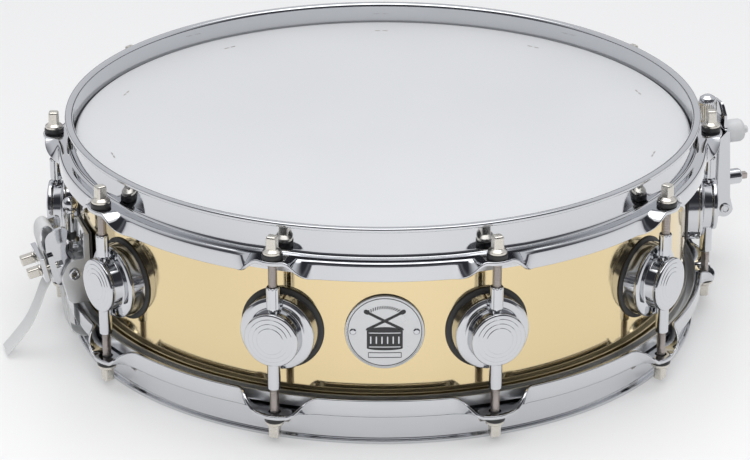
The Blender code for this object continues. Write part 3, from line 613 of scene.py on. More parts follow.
def badge_ring(name, radius, width, raised=0.12):
    front = BADGE_FACE + raised
    back = BADGE_FACE - 0.1
    profile = [(radius, back), (radius, front), (radius + width, front), (radius + width, back)]
    mesh = turned(name, profile, 96, closed=True)
    return outwards(mesh, height=BADGE_HEIGHT)


def badge_drum():
    """The side view of a plain drum, with its ends slightly bowed."""
    columns = []
    for step in range(33):
        turn = math.pi * step / 32
        side = 9.6 * math.cos(turn)
        bottom = (side, -9.4 - 1.2 * math.sin(turn))
        columns.append((bottom, (side, 0.4 + 2.6 * math.sin(turn))))
    return badge_ribbon(columns)


def make_badge():
    """A plate with a side drum, crossed sticks, an arc of hatching and an empty box."""
    rim = [
        (20.3, BADGE_FACE), (20.5, BADGE_FACE + 0.3, 0.1), (21.1, BADGE_FACE + 0.4, 0.3),
        (BADGE_RADIUS, BADGE_FACE - 0.3, 0.2), (BADGE_RADIUS, BADGE_BACK),
    ]
    face = [(19 * step / 8, BADGE_FACE) for step in range(9)]
    back = [(radius, BADGE_BACK) for radius, _ in face[-2::-1]]
    disc = turned("badge_disc", face + filleted(rim, closed=False) + back, 96)
    outwards(disc, height=BADGE_HEIGHT)
    place = facing(0)
    disc = smooth(saddled(disc))
    piece("badge_disc", disc, BADGE_METAL, "root", place, "badge")

    dark = [badge_ring("badge_line", 19.5, 0.4)]
    for index in range(17):
        swing = 5 * index - 40
        turn = math.radians(90 + swing)
        centre = (14.6 * math.cos(turn), 14.6 * math.sin(turn))
        dark.append(badge_bar(centre, 2, 0.55, 65 + swing))
    dark.append(badge_drum())
    for side in (-1, 1):
        dark.append(badge_bar((0, 6.6), 23, 1.5, 90 + side * 62))
        dark.append(badge_bar((side * 9.6, 11.7), 3.4, 2.5, 90 - side * 62))
    for height in (-14.9, -12.1):
        dark.append(badge_bar((0, height), 18, 0.35, 0))
    for side in (-8.8, 8.8):
        dark.append(badge_bar((side, -13.5), 3.1, 0.35, 90))
    figure = saddled(merged("badge_figure", dark))
    piece("badge_figure", figure, ENAMEL, "root", place, flat_faces=False)

    light = []
    for side in (-7.5, -4.5, -1.5, 1.5, 4.5, 7.5):
        light.append(badge_bar((side, -4.6), 4.4, 0.7, 90, 0.24))
    for height in (-0.4, -8.6):
        light.append(badge_bar((0, height), 17.4, 0.5, 0, 0.24))
    rivet = [(0, 180.1), (1.3, 179.95, 0.5), (1.9, BADGE_FACE + 0.2, 0.3), (1.9, 179)]
    for side in (-17, 17):
        mesh = lathe("badge_rivet", rivet, 24)
        light.append(outwards(mesh, side=side, height=BADGE_HEIGHT))
    trim = smooth(saddled(merged("badge_trim", light)))
    piece("badge_trim", trim, CHROME, "root", place, flat_faces=False)


# ---- Heads
def make_heads():
    corners = [
        (0, HEAD_TOP), (SHELL_RADIUS - 0.5, HEAD_TOP, 0.8), (SHELL_RADIUS + 0.8, HEAD_TOP - 1.3, 0.5),
        (SHELL_RADIUS + 0.8, 38, 0.1), (SHELL_RADIUS + 0.45, 38, 0.1),
        (SHELL_RADIUS + 0.45, HEAD_TOP - 1.5, 0.4), (SHELL_RADIUS - 0.8, HEAD_TOP - 0.35, 0.6),
        (0, HEAD_TOP - 0.35),
    ]
    film = smooth(lathe("head_film", corners, SHELL_STEPS))
    channel = [
        (185, 42.4, 0.5), (185, 36.2, 0.4), (184, 36.2, 0.3), (184, 41, 0.4), (180.1, 41, 0.4),
        (180.1, 36.2, 0.3), (178.95, 36.2, 0.3), (178.95, 42.4, 0.5),
    ]
    ring = smooth(lathe("flesh_hoop", channel, SHELL_STEPS, True, 2))
    batter = ("batter", DRUM, COATED_FILM, "coated_film")
    snare = ("snare", DRUM @ rotation(180, "X"), CLEAR_FILM, "clear_film")
    for side, place, look, slot in (batter, snare):
        node = side + "_head_film"
        piece(side + "_head", film.copy(), look, "root", place, node, False)
        node = side + "_flesh_hoop"
        name = side + "_flesh_ring"
        piece(name, ring.copy(), ALUMINIUM, "root", place, node, False)
    # The head's vent holes are not cut. Thin dark patches stand in for them instead: painted shade of the
    # drum's inside, as if seen through the holes.
    vent_shades = []
    for number in range(LUG_COUNT):
        turn = math.radians(LUG_PITCH * number)
        for offset in (-2.4, 2.4):
            low = (offset - 1.6, -161.4, HEAD_TOP - 0.1)
            high = (offset + 1.6, -160.6, HEAD_TOP + 0.04)
            mesh = box("vent", low, high)
            mesh.transform(Matrix.Rotation(turn, 4, "Z"))
            vent_shades.append(mesh)
    vent_shade_mesh = merged("painted_vent_shade", vent_shades)
    piece("painted_vent_shade", vent_shade_mesh, THREAD, "root", DRUM, flat_faces=False)


# ---- Hoops
EAR_HALF_ANGLE = 2.1
SKIRT_ANGLE = 7.2
FLANGE_THICKNESS = 2.3
GATE_LOW = (172, -20, -60.2)
GATE_HIGH = (184.9, 20, -49)


def eased(value):
    value = min(max(value, 0), 1)
    return value * value * (3 - 2 * value)


def hoop_section(offset):
    """The flanged section at an angle from the nearest lug.

    Below the shoulder the flange hangs as a skirt, and near a lug it swings out and up
    until it lies flat as an ear.
    """
    share = eased((SKIRT_ANGLE - abs(offset)) / (SKIRT_ANGLE - EAR_HALF_ANGLE))
    hang = math.radians(90 * (1 - share))
    along = Vector((math.cos(hang), -math.sin(hang)))
    out = Vector((math.sin(hang), math.cos(hang))) * FLANGE_THICKNESS / 2
    rounding = 1.7 * min(abs(offset) / EAR_HALF_ANGLE, 1) ** 2
    length = 9.8 + (0.85 - rounding) * share
    tip = Vector((187.35, 44.6 + 0.55 * share)) + along * length
    under = Vector((186.2, 43.2)).lerp(Vector((187, 43.8)), share)
    shoulder = Vector((188.5, 45.5)).lerp(Vector((187.6, 46.25)), share)
    corners = [
        (184, 60.9, 0.7), (184, 63.3, 1.1), (179.2, 63.3, 2.2), (179.2, 43, 1.8), (*under, 1.2),
        (*(tip - out), 0.7), (*(tip + out), 0.7), (*shoulder, 2.8), (181.5, 45.7, 2.6),
        (181.5, 60.9, 0.9),
    ]
    return filleted(corners)


def hoop_stations():
    """Angles round the hoop: close together at the ears, wider along the skirts."""
    made = []
    for lug in range(LUG_COUNT):
        middle = FIRST_LUG_ANGLE + LUG_PITCH * lug
        made += [middle - 8 + 0.4 * step for step in range(40)]
        made += [middle + 8 + step for step in range(20)]
    return made


def make_hoops():
    def section(angle):
        offset = (angle - FIRST_LUG_ANGLE + LUG_PITCH / 2) % LUG_PITCH - LUG_PITCH / 2
        return hoop_section(offset)

    ring = grid("hoop", ring_rows(hoop_stations(), section), wrap_rows=True)
    holes = []
    for lug in range(LUG_COUNT):
        turn = math.radians(FIRST_LUG_ANGLE + LUG_PITCH * lug)
        place = (BOLT_RADIUS * math.sin(turn), -BOLT_RADIUS * math.cos(turn))
        holes.append(((*place, 40), (*place, 50)))
    drills = rods("hoop_drills", holes, 3.4, 24)
    batter = carved("batter_hoop", ring, [drills])
    gates = []
    for angle in (THROWOFF_ANGLE, BUTT_ANGLE):
        gate = box("gate", GATE_LOW, GATE_HIGH)
        gate.transform(rotation(angle - 90, "Z"))
        gates.append(gate)
    snare = batter.copy()
    snare.transform(rotation(180, "X"))
    snare = carved("snare_hoop", snare, gates)
    for side, mesh in (("batter", batter), ("snare", snare)):
        node = side + "_hoop"
        piece(side + "_rim", smooth(mesh), CHROME, "root", DRUM, node, False)


# ---- Lugs and tension rods
def fluted(turn, radius, height):
    """Flutes round the upper swivel tube, which also notch its end."""
    if radius < TUBE_RADIUS - 0.25 or height < 17:
        return radius, height
    wave = 0.5 - 0.5 * math.cos(10 * turn)
    drop = 0.9 * wave if height > TUBE_END - 0.6 else 0
    return radius - 0.32 * wave, height - drop


def lug_parts():
    """The turret, its two tubes, the gasket under it and the screw inside the shell."""
    turret_profile = [
        (0, LUG_FACE), (7.4, LUG_FACE, 0.3), (7.6, LUG_FACE - 0.25, 0.2), (9.8, LUG_FACE - 0.3, 0.3),
        (10, LUG_FACE - 0.55, 0.2), (12.3, LUG_FACE - 0.6, 0.3), (12.5, LUG_FACE - 0.85, 0.2),
        (15.2, LUG_FACE - 1, 1.3), (15.2, 193.6, 0.9), (13.9, 192.9, 0.4), (15.1, 187.7, 1.2),
        (18.8, 187.3, 1.2), (20.8, 186.6, 1.2), (20.8, 184.9, 0.7), (20.5, 184.5, 0.3),
        (21.3, 179.2, 0.2), (0, 179.2),
    ]
    turret = lathe("lug_turret", turret_profile, 96, rounding=5)
    turret = smooth(saddled(outwards(turret), 179.2, 183.6), 34)
    rim = [
        (0, 20.5), (3.05, 20.5, 0.2), (3.05, TUBE_END - 0.1, 0.15), (TUBE_RADIUS, TUBE_END - 0.2, 0.25),
        (TUBE_RADIUS, TUBE_END - 1),
    ]
    fluted_length = [(TUBE_RADIUS, TUBE_END - 1 - 1.8 * step) for step in range(1, 5)]
    foot = [
        (TUBE_RADIUS, TUBE_END - 10), (TUBE_RADIUS, 17.2, 0.5), (2.6, 15.9, 0.5), (2.6, 11), (0, 11),
    ]
    profile = filleted(rim, False) + fluted_length + filleted(foot, False)
    tube_up = turned("lug_tube_upper", profile, 80, relief=fluted)
    lower = [
        (0, -20.5), (3.05, -20.5, 0.2), (3.05, -TUBE_END, 0.15), (TUBE_RADIUS, -TUBE_END, 0.5),
        (TUBE_RADIUS, -12, 0.3), (0, -11),
    ]
    tube_down = lathe("lug_tube_lower", lower, 40)
    tubes = shifted(merged("lug_tubes", [tube_up, tube_down]), BOLT_RADIUS)
    gasket_profile = [
        (16, 179.15, 0.2), (16, 177.85, 0.2), (23.4, 177.85, 0.2), (23.4, 178.75, 0.5),
        (21.6, 179.15, 0.3),
    ]
    gasket = lathe("lug_gasket", gasket_profile, 96, closed=True)
    screw_profile = [
        (0, 173.9), (3.6, 174.1, 0.8), (4.2, 175.4, 0.4), (6.8, 175.4, 0.3), (6.8, 176.55, 0.1),
        (0, 176.55),
    ]
    screw = lathe("lug_screw", screw_profile, 40)
    gasket, screw = [smooth(saddled(outwards(mesh))) for mesh in (gasket, screw)]
    return turret, smooth(tubes, 50), gasket, screw


def rod_parts():
    """A tension rod about its own axis: threads, flange and square head, and a washer."""
    core_profile = [
        (0, EAR_TOP + 4.6), (2.5, EAR_TOP + 4.6), (2.5, 43, 0.2), (2.2, 42.6, 0.1), (2.2, 18.4, 0.3),
        (1.7, 17.4, 0.3), (0, 17.4),
    ]
    core = lathe("rod_core", core_profile, 24)
    shank = threaded("rod_shank", core, 2.18, 0.95, 18.6, 42.6, (-0.2, 0.33, 0.36))
    flange_profile = [(0, 52.2), (3.3, 52, 0.9), (5.2, 50.5, 0.5), (5.2, 49.1, 0.3), (0, 49.1)]
    flange = lathe("rod_flange", flange_profile, 40)
    square = box("rod_square", (-3, -3, 49.8), (3, 3, 59))
    for vertex in square.vertices:
        if vertex.co.z > 0.055:
            vertex.co.x *= 0.93
            vertex.co.y *= 0.93
    square = bevelled(square, 1.15, 5)
    head = smooth(merged("rod_head", [flange, square]), 42)
    washer_profile = [(2.8, 46.35, 0.2), (5.65, 46.35, 0.4), (5.65, 49, 0.5), (2.8, 49, 0.2)]
    washer = smooth(lathe("rod_washer", washer_profile, 40, closed=True))
    return shank, head, washer


def make_lugs_and_rods():
    turret, tubes, gasket, screw = lug_parts()
    shank, head, washer = rod_parts()
    for number in range(1, LUG_COUNT + 1):
        angle = FIRST_LUG_ANGLE + LUG_PITCH * (number - 1)
        tag = "{:02d}".format(number)
        place = facing(angle)
        node = "lug_" + tag
        piece("lug_turret_" + tag, turret, CHROME, "root", place, node)
        piece("lug_tubes_" + tag, tubes, CHROME, "root", place)
        piece("lug_gasket_" + tag, gasket, RUBBER, "root", place)
        piece("lug_screw_" + tag, screw, NICKEL, "root", place)
        bolt = moved(place, BOLT_RADIUS)
        for side, turn in (("batter", 0), ("snare", math.pi)):
            body = side + "_rod_" + tag
            spot = bolt @ Matrix.Rotation(turn, 4, "X")
            name = side + "_shank_" + tag
            piece(name, shank, THREAD, body, spot, body, False)
            piece(side + "_head_" + tag, head, NICKEL, body, spot)
            piece(side + "_washer_" + tag, washer, NYLON, body, spot)


# ---- Snares
WIRE_COUNT = 20
WIRE_PITCH = 2.3
COIL_RADIUS = 0.82
COIL_PITCH = 1.75
COIL_STEPS = 7
WIRE_GAUGE = 0.26
PLATE_MIDDLE = 155


def make_snare_wires():
    """Coiled strands soldered into two end plates, along the throw-off's X axis."""
    reach = PLATE_MIDDLE - 3
    path, sides = helix(COIL_RADIUS, COIL_PITCH, -reach, reach, COIL_STEPS)
    gauge = WIRE_GAUGE
    section = [(-gauge, 0), (0, -gauge), (gauge, 0), (0, gauge)]
    strand = swept("strand", path, sides, section)
    strand.transform(rotation(90, "Y"))
    strands = []
    for index in range(WIRE_COUNT):
        mesh = strand.copy()
        side = (index - (WIRE_COUNT - 1) / 2) * WIRE_PITCH
        spin = Matrix.Rotation(1.3 * index, 4, "X")
        mesh.transform(Matrix.Translation((0, side * MM, WIRE_HEIGHT * MM)) @ spin)
        strands.append(mesh)
    wires = merged("snare_strands", strands)
    wires.shade_smooth()
    body = "throwoff_carriage"
    piece("snare_strands", wires, WIRE, body, THROWOFF, "snare_wires", False)
    for number, end in enumerate((-1, 1), start=1):
        middle = end * PLATE_MIDDLE
        low = (middle - 6, -23.5, WIRE_HEIGHT - 0.6)
        high = (middle + 6, 23.5, WIRE_HEIGHT + 0.6)
        plate = box("end_plate", low, high)
        slots = []
        for side in (-14, 14):
            x = middle + end * 2.6
            lozenge = box("slot", (x - 0.9, side - 4, -58), (x + 0.9, side + 4, -48))
            slots.append(lozenge)
        plate = milled("end_plate", plate, 0.35, cuts=slots)
        piece("snare_end_plate_" + str(number), plate, NICKEL, body, THROWOFF)


STRAP_SECTION = filleted(rectangle(-STRAP_HALF_SIZE, STRAP_HALF_SIZE, 0.25), steps=2)


def strap(name, points, between=8):
    """A flat strap along a route of (distance, height) points."""
    route = smooth_route(points, between)
    path = [Vector((point.x, 0, point.y)) for point in route]
    sides = [Vector((0, 1, 0))] * len(path)
    return smooth(swept(name, path, sides, STRAP_SECTION))


def make_straps():
    under = [(152, STRAP_HEIGHT), (178, STRAP_HEIGHT), (185, STRAP_HEIGHT + 0.3)]
    rise = [(189.6, STRAP_HEIGHT + 3), (191, STRAP_HEIGHT + 8)]
    climb = [(191, -26), (191, -4.7)]
    mesh = strap("throwoff_tape", under + rise + climb)
    body = "throwoff_carriage"
    piece("throwoff_tape", mesh, STRAP, body, THROWOFF, "throwoff_strap", False)

    gate = (189.8, STRAP_HEIGHT + 3.2)
    lower = strap("butt_tape_lower", under + [gate])
    lower_piece = piece("butt_tape_lower", lower, STRAP, None, BUTT, None, False)
    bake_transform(lower_piece)

    over = [
        gate, (191.6, STRAP_HEIGHT + 9), (193.2, -32), (195.2, -18), (197.2, -3), (197.9, 7),
        (198.8, 13.4), (202.3, 16.6), (206, 14.2), (207, 8), (205.6, 0.8), (203.3, -8.2), (201.5, -17),
        (204.6, -23.4), (208.4, -32.7), (213.2, -42.6), (219.9, -51.4), (228.3, -60.4),
    ]
    upper = strap("butt_tape_upper", over)
    node = "butt_strap"
    upper_piece = piece("butt_tape_upper", upper, STRAP, None, BUTT, node, False)
    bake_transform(upper_piece)


# ---- Throw-off
PIN_RADIUS = 2.3
PIN_HEAD = 3.3


def make_hinge_pin(name, fitting, pivot, half_length, node):
    """A riveted pin along local Y, with a dished head at each end."""
    profile = [
        (0, half_length - 0.45), (PIN_HEAD * 0.5, half_length - 0.45, 0.2),
        (PIN_HEAD * 0.62, half_length, 0.25), (PIN_HEAD, half_length - 0.1, 0.4),
        (PIN_HEAD, half_length - 1.05, 0.2), (PIN_RADIUS, half_length - 1.05),
    ]
    half = filleted(profile, closed=False)
    other = [(radius, -height) for radius, height in half]
    mesh = turned(name, half + other[::-1], 32)
    mesh.transform(rotation(90, "X"))
    place = moved(fitting, *pivot)
    piece(name, smooth(mesh), CHROME, "root", place, node)


def pin_hole(pivot):
    ends = ((pivot[0], -30, pivot[1]), (pivot[0], 30, pivot[1]))
    return rods("pin_hole", [ends], PIN_RADIUS + 0.4, 32)


def mount_holes(heights, radius):
    return rods("mount_holes", [((176, 0, up), (200, 0, up)) for up in heights], radius, 24)


def make_pad(name, fitting, half_width, bottom, top, node):
    """The thin pad between a fitting and the shell."""
    low = (178.15, -half_width - 0.9, bottom)
    high = (179.25, half_width + 0.9, top)
    pad = milled(name, box(name, low, high), 0.35)
    piece(name, pad, RUBBER, "root", fitting, node)


def make_throwoff_fixed():
    make_pad("throwoff_pad", THROWOFF, BODY_HALF_WIDTH, -30.9, 18.7, "throwoff_gasket")
    corners = [
        (179.6, -30, 0.6), (179.6, 17.8, 0.6), (211, 17.8, 2.4), (211, -18, 6),
        *arc(LEVER_PIVOT, 4.6, 60, -90, 14), (209, -33.5, 5), (195, -33.5, 5), (190.8, -30, 0.8),
    ]
    block = slab("throwoff_housing", filleted(corners), -BODY_HALF_WIDTH, BODY_HALF_WIDTH)
    inner = BODY_HALF_WIDTH - BODY_CHEEK
    channel = box("channel", (184.4, -inner, -60), (240, inner, 60))
    cuts = [channel, pin_hole(LEVER_PIVOT), mount_holes((-20, 8), 2.4)]
    body = milled("throwoff_housing", block, 0.4, cuts=cuts)
    piece("throwoff_housing", body, CHROME, "root", THROWOFF, "throwoff_body")
    make_hinge_pin("throwoff_hinge_pin", THROWOFF, LEVER_PIVOT, 14.4, "throwoff_pin")


def make_throwoff_lever():
    half = LEVER_HALF_WIDTH
    corners = [
        *arc(LEVER_PIVOT, 5.4, 200, 350, 22), (218.9, -19, 3), (218, 0, 12), (216.9, 20, 12),
        (216.2, 33, 8), (215, 40.5, 0.7), (213.4, 40.2, 0.7), (214.5, 32, 8), (214.5, 24, 1.2),
        (210.2, 20, 3), (210.2, -22, 3),
    ]
    block = slab("throwoff_handle", filleted(corners, steps=6), -half, half)
    inner = half - LEVER_CHEEK
    hollow = [
        (200, -50), (240, -50), (240, -20.5), (216.8, -20.5), (214.9, 18), (214.85, 26), (200, 26),
    ]
    window = filleted(rectangle((-6.3, -18.5), (6.3, 1.5), 2.5), steps=6)
    outside = [
        (-9, 24, 1.5), (-9, 33, 5), (-5.6, 40.5, 4.5), (5.6, 40.5, 4.5), (9, 33, 5), (9, 24, 1.5),
        (30, 24), (30, 60), (-30, 60), (-30, 24),
    ]
    outside = filleted(outside, steps=8)
    cuts = [
        slab("lever_hollow", hollow, -inner, inner), punch("lever_window", window, 212, 226),
        punch("tab_outside", outside, 200, 230), pin_hole(LEVER_PIVOT),
    ]
    lever = milled("throwoff_handle", block, 0.45, 3, cuts)
    body = "throwoff_lever"
    piece("throwoff_handle", lever, CHROME, body, THROWOFF, "throwoff_lever")

    profile = [
        (0, 234), (2.4, 234, 0.7), (2.4, 230.7, 0.5), (6, 230.4, 1), (7, 228.6, 1), (7, 218.6, 0.8),
        (5.4, 217.7, 0.5), (0, 217.7),
    ]
    knob = lathe("lever_bumper", profile, 64, rounding=5)
    knob = smooth(outwards(knob, height=LEVER_KNOB_HEIGHT))
    node = "throwoff_lever_knob"
    piece("lever_bumper", knob, GREY_PLASTIC, body, THROWOFF, node)

    # The magnet that holds the closed lever against the edge of the slide.
    profile = [(0, 215.6), (2.3, 215.6), (2.3, 213.6, 0.4), (0, 213.6)]
    catch = smooth(outwards(lathe("magnet_catch", profile, 32), height=MAGNET_HEIGHT))
    piece("magnet_catch", catch, NICKEL, body, THROWOFF)


def knurled(turn, radius, height):
    """Straight flutes round the tension knob, between its dome and its foot."""
    if radius < 5 or not 28.4 < height < 40.4:
        return radius, height
    wave = abs(math.sin(12 * turn))
    fade = min((height - 28.4) / 1.2, (40.4 - height) / 2, 1)
    return radius - 0.75 * (1 - wave) * fade, height


def make_carriage():
    half = CARRIAGE_HALF_WIDTH
    corners = [
        (184.8, -24, 0.5), (190.2, -24, 0.5), (190.2, 18.6, 1.5), (212.2, 18.6, 0.5), (212.2, 21.6, 0.8),
        (184.8, 21.6, 0.5),
    ]
    block = slab("throwoff_slide", filleted(corners, steps=3), -half, half)
    outside = half - 0.3
    bridge = box("bridge", (189, -outside, -18), (208, outside, -5))
    inside = half - 1.5
    opening = box("strap_slot", (190.4, -inside, -30), (204.6, inside, 0))
    screw_line = ((200, 0, CLAMP_HEIGHT), (220, 0, CLAMP_HEIGHT))
    knob_line = ((KNOB_PLACE, 0, 15), (KNOB_PLACE, 0, 25))
    screw_hole = rods("screw_hole", [screw_line], 2.1, 24)
    cuts = [opening, screw_hole, rods("knob_hole", [knob_line], 3, 24)]
    mesh = milled("throwoff_slide", block, 0.35, 2, cuts, [bridge])
    body = "throwoff_carriage"
    piece("throwoff_slide", mesh, CHROME, body, THROWOFF, "throwoff_carriage")

    plate = box("throwoff_jaw", (191.8, -7.2, -17.5), (195, 7.2, -5.5))
    plate = milled("throwoff_jaw", plate, 0.5, 3)
    piece("throwoff_jaw", plate, CHROME, body, THROWOFF, "throwoff_clamp_plate")

    profile = [
        (0, 231.6), (2.4, 231.6, 0.3), (2.6, 230.9, 0.2), (4.4, 230.7, 0.4), (4.8, 229.8, 0.5),
        (4.8, 221.2, 0.6), (3.9, 220.3, 0.3), (1.6, 220.3, 0.2), (1.6, 195.4, 0.2), (0, 195.4),
    ]
    collar = smooth(outwards(lathe("clamp_collar", profile, 40), height=CLAMP_HEIGHT))
    piece("throwoff_screw", collar, CHROME, body, THROWOFF, "throwoff_clamp_screw")
    low = (231, -1.9, CLAMP_HEIGHT - 1.9)
    high = (235.3, 1.9, CLAMP_HEIGHT + 1.9)
    key = milled("throwoff_screw_key", box("throwoff_screw_key", low, high), 0.5, 3)
    piece("throwoff_screw_key", key, THREAD, body, THROWOFF)


def make_tension_knob():
    body = "tension_knob"
    place = moved(THROWOFF, KNOB_PLACE)
    corners = [(0, 44.4), (2.4, 44.3, 1), (4.8, 42.7, 1.4), (5.6, 40.2)]
    dome = filleted(corners, closed=False, steps=6)
    rows = dome[:-1] + [(5.6, 40.2 - 0.9 * step) for step in range(14)]
    foot = [(5.6, 28.2), (5.2, 27.6), (4.6, 27.4), (0, 27.4)]
    knob = smooth(turned("fine_tune_knob", rows + foot, 144, relief=knurled), 50)
    piece("fine_tune_knob", knob, CHROME, body, place, "tension_knob", False)
    ring_profile = [
        (0, 27.3), (4.7, 27.3, 0.3), (5.3, 26.4, 0.5), (5.3, 23, 0.5), (4.9, 22, 0.3), (0, 22),
    ]
    ring = lathe("fine_tune_washer", ring_profile, 48)
    piece("fine_tune_washer", smooth(ring), NYLON, body, place)
    core = turned("tune_core", [(0, 21.9), (2.1, 21.9), (2.1, 2.2), (0, 2.2)], 24)
    screw = threaded("fine_tune_screw", core, 2.1, 1, 3, 21, (-0.2, 0.34, 0.38))
    piece("fine_tune_screw", screw, THREAD, body, place, None, False)


# ---- Butt plate
ARM_ALONG = (ARM_FACE[1] - ARM_FACE[0]).normalized()
ARM_OUT = Vector((ARM_ALONG.y, -ARM_ALONG.x))


def face_point(share, raised):
    """A point on the arm's clamp face, raised outwards from it."""
    return ARM_FACE[0].lerp(ARM_FACE[1], share) + ARM_OUT * raised


def face_slab(name, under, over):
    """A plate along the arm's clamp face, between two heights over it."""
    corners = ((0.1, under), (0.1, over), (0.9, over), (0.9, under))
    return slab(name, [face_point(*corner) for corner in corners], -13, 13)


def face_placed(mesh, side):
    """Puts a mesh made about Z square onto the clamp face's middle."""
    mesh.transform(Matrix.Rotation(math.pi / 2 + math.atan2(-ARM_OUT.y, ARM_OUT.x), 4, "Y"))
    middle = face_point(0.5, 0)
    return shifted(mesh, middle.x, side, middle.y)


SCREW_SIDES = (-9.5, 9.5)


def face_holes(name):
    made = []
    for side in SCREW_SIDES:
        start = face_point(0.5, -8)
        end = face_point(0.5, 8)
        made.append(((start.x, side, start.y), (end.x, side, end.y)))
    return rods(name, made, 2.1, 24)


def make_butt_fixed():
    make_pad("butt_pad", BUTT, BUTT_HALF_WIDTH, -32.7, 11.9, "butt_gasket")
    corners = [
        (179.6, -31, 0.8), (179.6, 11, 0.6), (183.2, 11, 1.2), (183.2, -4, 1), (192, -4.4, 6),
        (196.6, -14, 7), (192.6, -31, 4.5),
    ]
    outline = filleted(corners, steps=8)
    block = slab("butt_bracket", outline, -BUTT_HALF_WIDTH, BUTT_HALF_WIDTH)
    inner = BUTT_HALF_WIDTH - BUTT_EAR
    channel = box("channel", (181.6, -inner, -60), (240, inner, 60))
    cuts = [channel, pin_hole(BUTT_PIVOT), mount_holes((-22, 6), 2)]
    mesh = milled("butt_bracket", block, 0.6, 3, cuts)
    piece("butt_bracket", mesh, SATIN_CHROME, "root", BUTT, "butt_base")
    make_hinge_pin("butt_hinge_pin", BUTT, BUTT_PIVOT, 14.9, "butt_pin")


def make_butt_arm():
    foot = face_point(0, -0.3)
    head = face_point(1, -0.3)
    corners = [
        *arc(BUTT_PIVOT, 5, 120, 280, 18), (197, -20.6, 3.5), (foot.x, foot.y, 1.2), (head.x, head.y, 4),
        (204.6, 12.6, 7), (190.8, 16.2, 3.5), (193.4, -2, 9),
    ]
    outline = filleted(corners, steps=8)
    cheeks = slab("butt_arch", outline, -ARM_HALF_WIDTH, ARM_HALF_WIDTH)
    inner = ARM_HALF_WIDTH - ARM_CHEEK
    passage = [(170, -45), (197.2, -45), (197.6, -18), (199.6, -6), (200.2, 3), (200.2, 25), (170, 25)]
    cuts = [
        slab("strap_passage", passage, -inner, inner), face_holes("arm_drills"), pin_hole(BUTT_PIVOT),
    ]
    pad = face_slab("clamp_pad", -3.6, 0)
    mesh = milled("butt_arch", cheeks, 0.45, 3, cuts, [pad])
    body = "butt_arm"
    piece("butt_arch", mesh, CHROME, body, BUTT, "butt_arm")

    plate = face_slab("butt_jaw", 1.7, 4.7)
    plate = milled("butt_jaw", plate, 0.5, 3, [face_holes("plate_drills")])
    piece("butt_jaw", plate, CHROME, body, BUTT, "butt_clamp_plate")

    shank_profile = [
        (0, 6.6), (2.4, 6.6, 0.3), (3.4, 6, 0.5), (3.4, 5, 0.3), (1.6, 5, 0.1), (1.6, -4.8, 0.3), (0, -5),
    ]
    for number, side in enumerate(SCREW_SIDES, start=1):
        name = "butt_screw_" + str(number)
        shank = lathe(name, shank_profile, 32)
        square = bevelled(box("square", (-2.6, -2.6, 6), (2.6, 2.6, 13)), 0.8, 4)
        mesh = smooth(face_placed(merged(name, [shank, square]), side), 42)
        piece(name, mesh, NICKEL, body, BUTT, "butt_clamp_screw_" + str(number))


def make_selector():
    """The three-position lever: a hub, a stem and a ball."""
    hub_profile = [(0, -5), (5, -5, 0.5), (5, 0.6, 0.5), (3.9, 1.2, 0.3), (3.4, 2.2, 0.5), (0, 2.2)]
    hub = smooth(outwards(lathe("selector_hub", hub_profile, 40)))
    body = "butt_selector"
    place = moved(BUTT, SELECTOR_PLACE)
    piece("selector_hub", hub, CHROME, body, place, "butt_selector")
    foot_profile = [(0, 3.6), (2.9, 3.6, 0.3), (2.9, 8, 0.6), (0, 8.2)]
    foot = smooth(lathe("selector_foot", foot_profile, 32))
    piece("selector_foot", foot, NYLON, body, place)
    profile = [(0, 2.4), (1.9, 2.4), (1.9, 19.4, 0.2), (2.6, 20.2)]
    stem = filleted(profile, closed=False)
    ball = []
    for step in range(17):
        turn = math.radians(-54 + 144 * step / 16)
        ball.append((4.3 * math.cos(turn), 25 + 4.3 * math.sin(turn)))
    ball[-1] = (0, ball[-1][1])
    mesh = smooth(turned("selector_lever", stem + ball, 40))
    piece("selector_lever", mesh, CHROME, body, place)


# ---- Floor, light and camera
def make_floor():
    mesh = bpy.data.meshes.new("floor")
    reach = 14
    corners = [(-reach, -reach, 0), (reach, -reach, 0), (reach, reach, 0), (-reach, reach, 0)]
    mesh.from_pydata(corners, [], [(0, 1, 2, 3)])
    look = material(
        "pale_floor", ((0.60, 0.60, 0.60), (0.61, 0.61, 0.61)), (0.30, 0.34), 0, (2, 300), (0, 0.01),
        (("Specular IOR Level", 0.3), ("Emission Strength", 0.25)),
    )
    mesh.materials.append(look)
    floor = helper_object("floor", mesh)


SOFTBOX = (1, 1, 1.01, 1)
SIDE_WALLS = (0.70, 0.71, 0.735, 1)
HORIZON = (0.08, 0.08, 0.095, 1)
CAMERA_WALL = (0.035, 0.036, 0.042, 1)
BACKDROP = (0.83, 0.83, 0.83, 1)


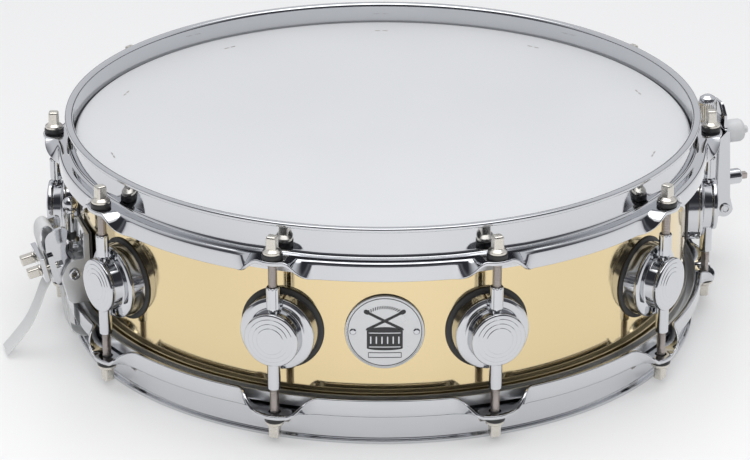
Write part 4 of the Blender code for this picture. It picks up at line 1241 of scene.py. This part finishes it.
def make_world():
    """A white studio whose camera side is dark up to a broad overhead softbox."""
    world = bpy.data.worlds.new("studio")
    bpy.context.scene.world = world
    world.use_nodes = True
    tree = world.node_tree
    background = tree.nodes["Background"]
    places = tree.nodes.new("ShaderNodeTexCoord")
    split = tree.nodes.new("ShaderNodeSeparateXYZ")
    tree.links.new(places.outputs["Generated"], split.inputs["Vector"])

    def eased_in(axis, low, high, start, end):
        return map_range(tree, split.outputs[axis], (low, high), (start, end), "SMOOTHSTEP")

    def times(first, second):
        node = tree.nodes.new("ShaderNodeMath")
        node.operation = "MULTIPLY"
        tree.links.new(first, node.inputs[0])
        tree.links.new(second, node.inputs[1])
        return node.outputs["Value"]

    camera_side = eased_in("Y", -0.50, 0.20, 1, 0)
    above_horizon = eased_in("Z", 0.15, 0.45, 0.80, 1)
    below_softbox = eased_in("Z", 0.84, 0.88, 1, 0)
    over_floor = eased_in("Z", 0.02, 0.06, 0, 1)
    under_walls = eased_in("Z", 0.16, 0.24, 1, 0)
    room = mix_colours(tree, times(camera_side, above_horizon), SIDE_WALLS, CAMERA_WALL)
    room = mix_colours(tree, times(over_floor, under_walls), room, HORIZON)
    surround = mix_colours(tree, below_softbox, SOFTBOX, room)
    ray = tree.nodes.new("ShaderNodeLightPath")
    colour = mix_colours(tree, ray.outputs["Is Camera Ray"], surround, BACKDROP)
    tree.links.new(colour, background.inputs["Color"])
    background.inputs["Strength"].default_value = 1


def softbox(name, size, energy, place, aim):
    lamp = bpy.data.lights.new(name, "AREA")
    lamp.shape = "SQUARE"
    lamp.size = size
    lamp.energy = energy
    made = helper_object(name, lamp)
    made.location = place
    away = Vector(place) - Vector(aim)
    made.rotation_euler = away.to_track_quat("Z", "Y").to_euler()
    return made


def make_lights():
    softbox("overhead_softbox", 2.4, 28, (0, 0.2, 2.6), (0, 0.2, 0))
    fill = softbox("front_fill", 1, 14, (0, -1.3, 0.9), (0, -0.35, 0))
    fill.visible_glossy = False


CAMERA_TURN = math.radians(-0.34)
CAMERA_RISE = math.radians(22.85)
CAMERA_REACH = 1.711


def make_camera():
    level = Vector((math.sin(CAMERA_TURN), -math.cos(CAMERA_TURN), 0))
    back = level * math.cos(CAMERA_RISE) + Vector((0, 0, math.sin(CAMERA_RISE)))
    lens = bpy.data.cameras.new("camera")
    lens.lens = 139.3
    lens.sensor_width = 36
    lens.shift_x = -0.0104
    lens.shift_y = -0.0344
    camera = helper_object("camera", lens)
    camera.location = Vector((0, 0, HALF_HEIGHT)) + back * CAMERA_REACH
    camera.rotation_euler = back.to_track_quat("Z", "Y").to_euler()
    bpy.context.scene.camera = camera
    bpy.context.scene.view_settings.view_transform = "Standard"


make_shell()
make_vent_grommet()
make_badge()
make_heads()
make_hoops()
make_lugs_and_rods()
make_snare_wires()
make_straps()
make_throwoff_fixed()
make_throwoff_lever()
make_carriage()
make_tension_knob()
make_butt_fixed()
make_butt_arm()
make_selector()
make_floor()
make_world()
make_lights()
make_camera()
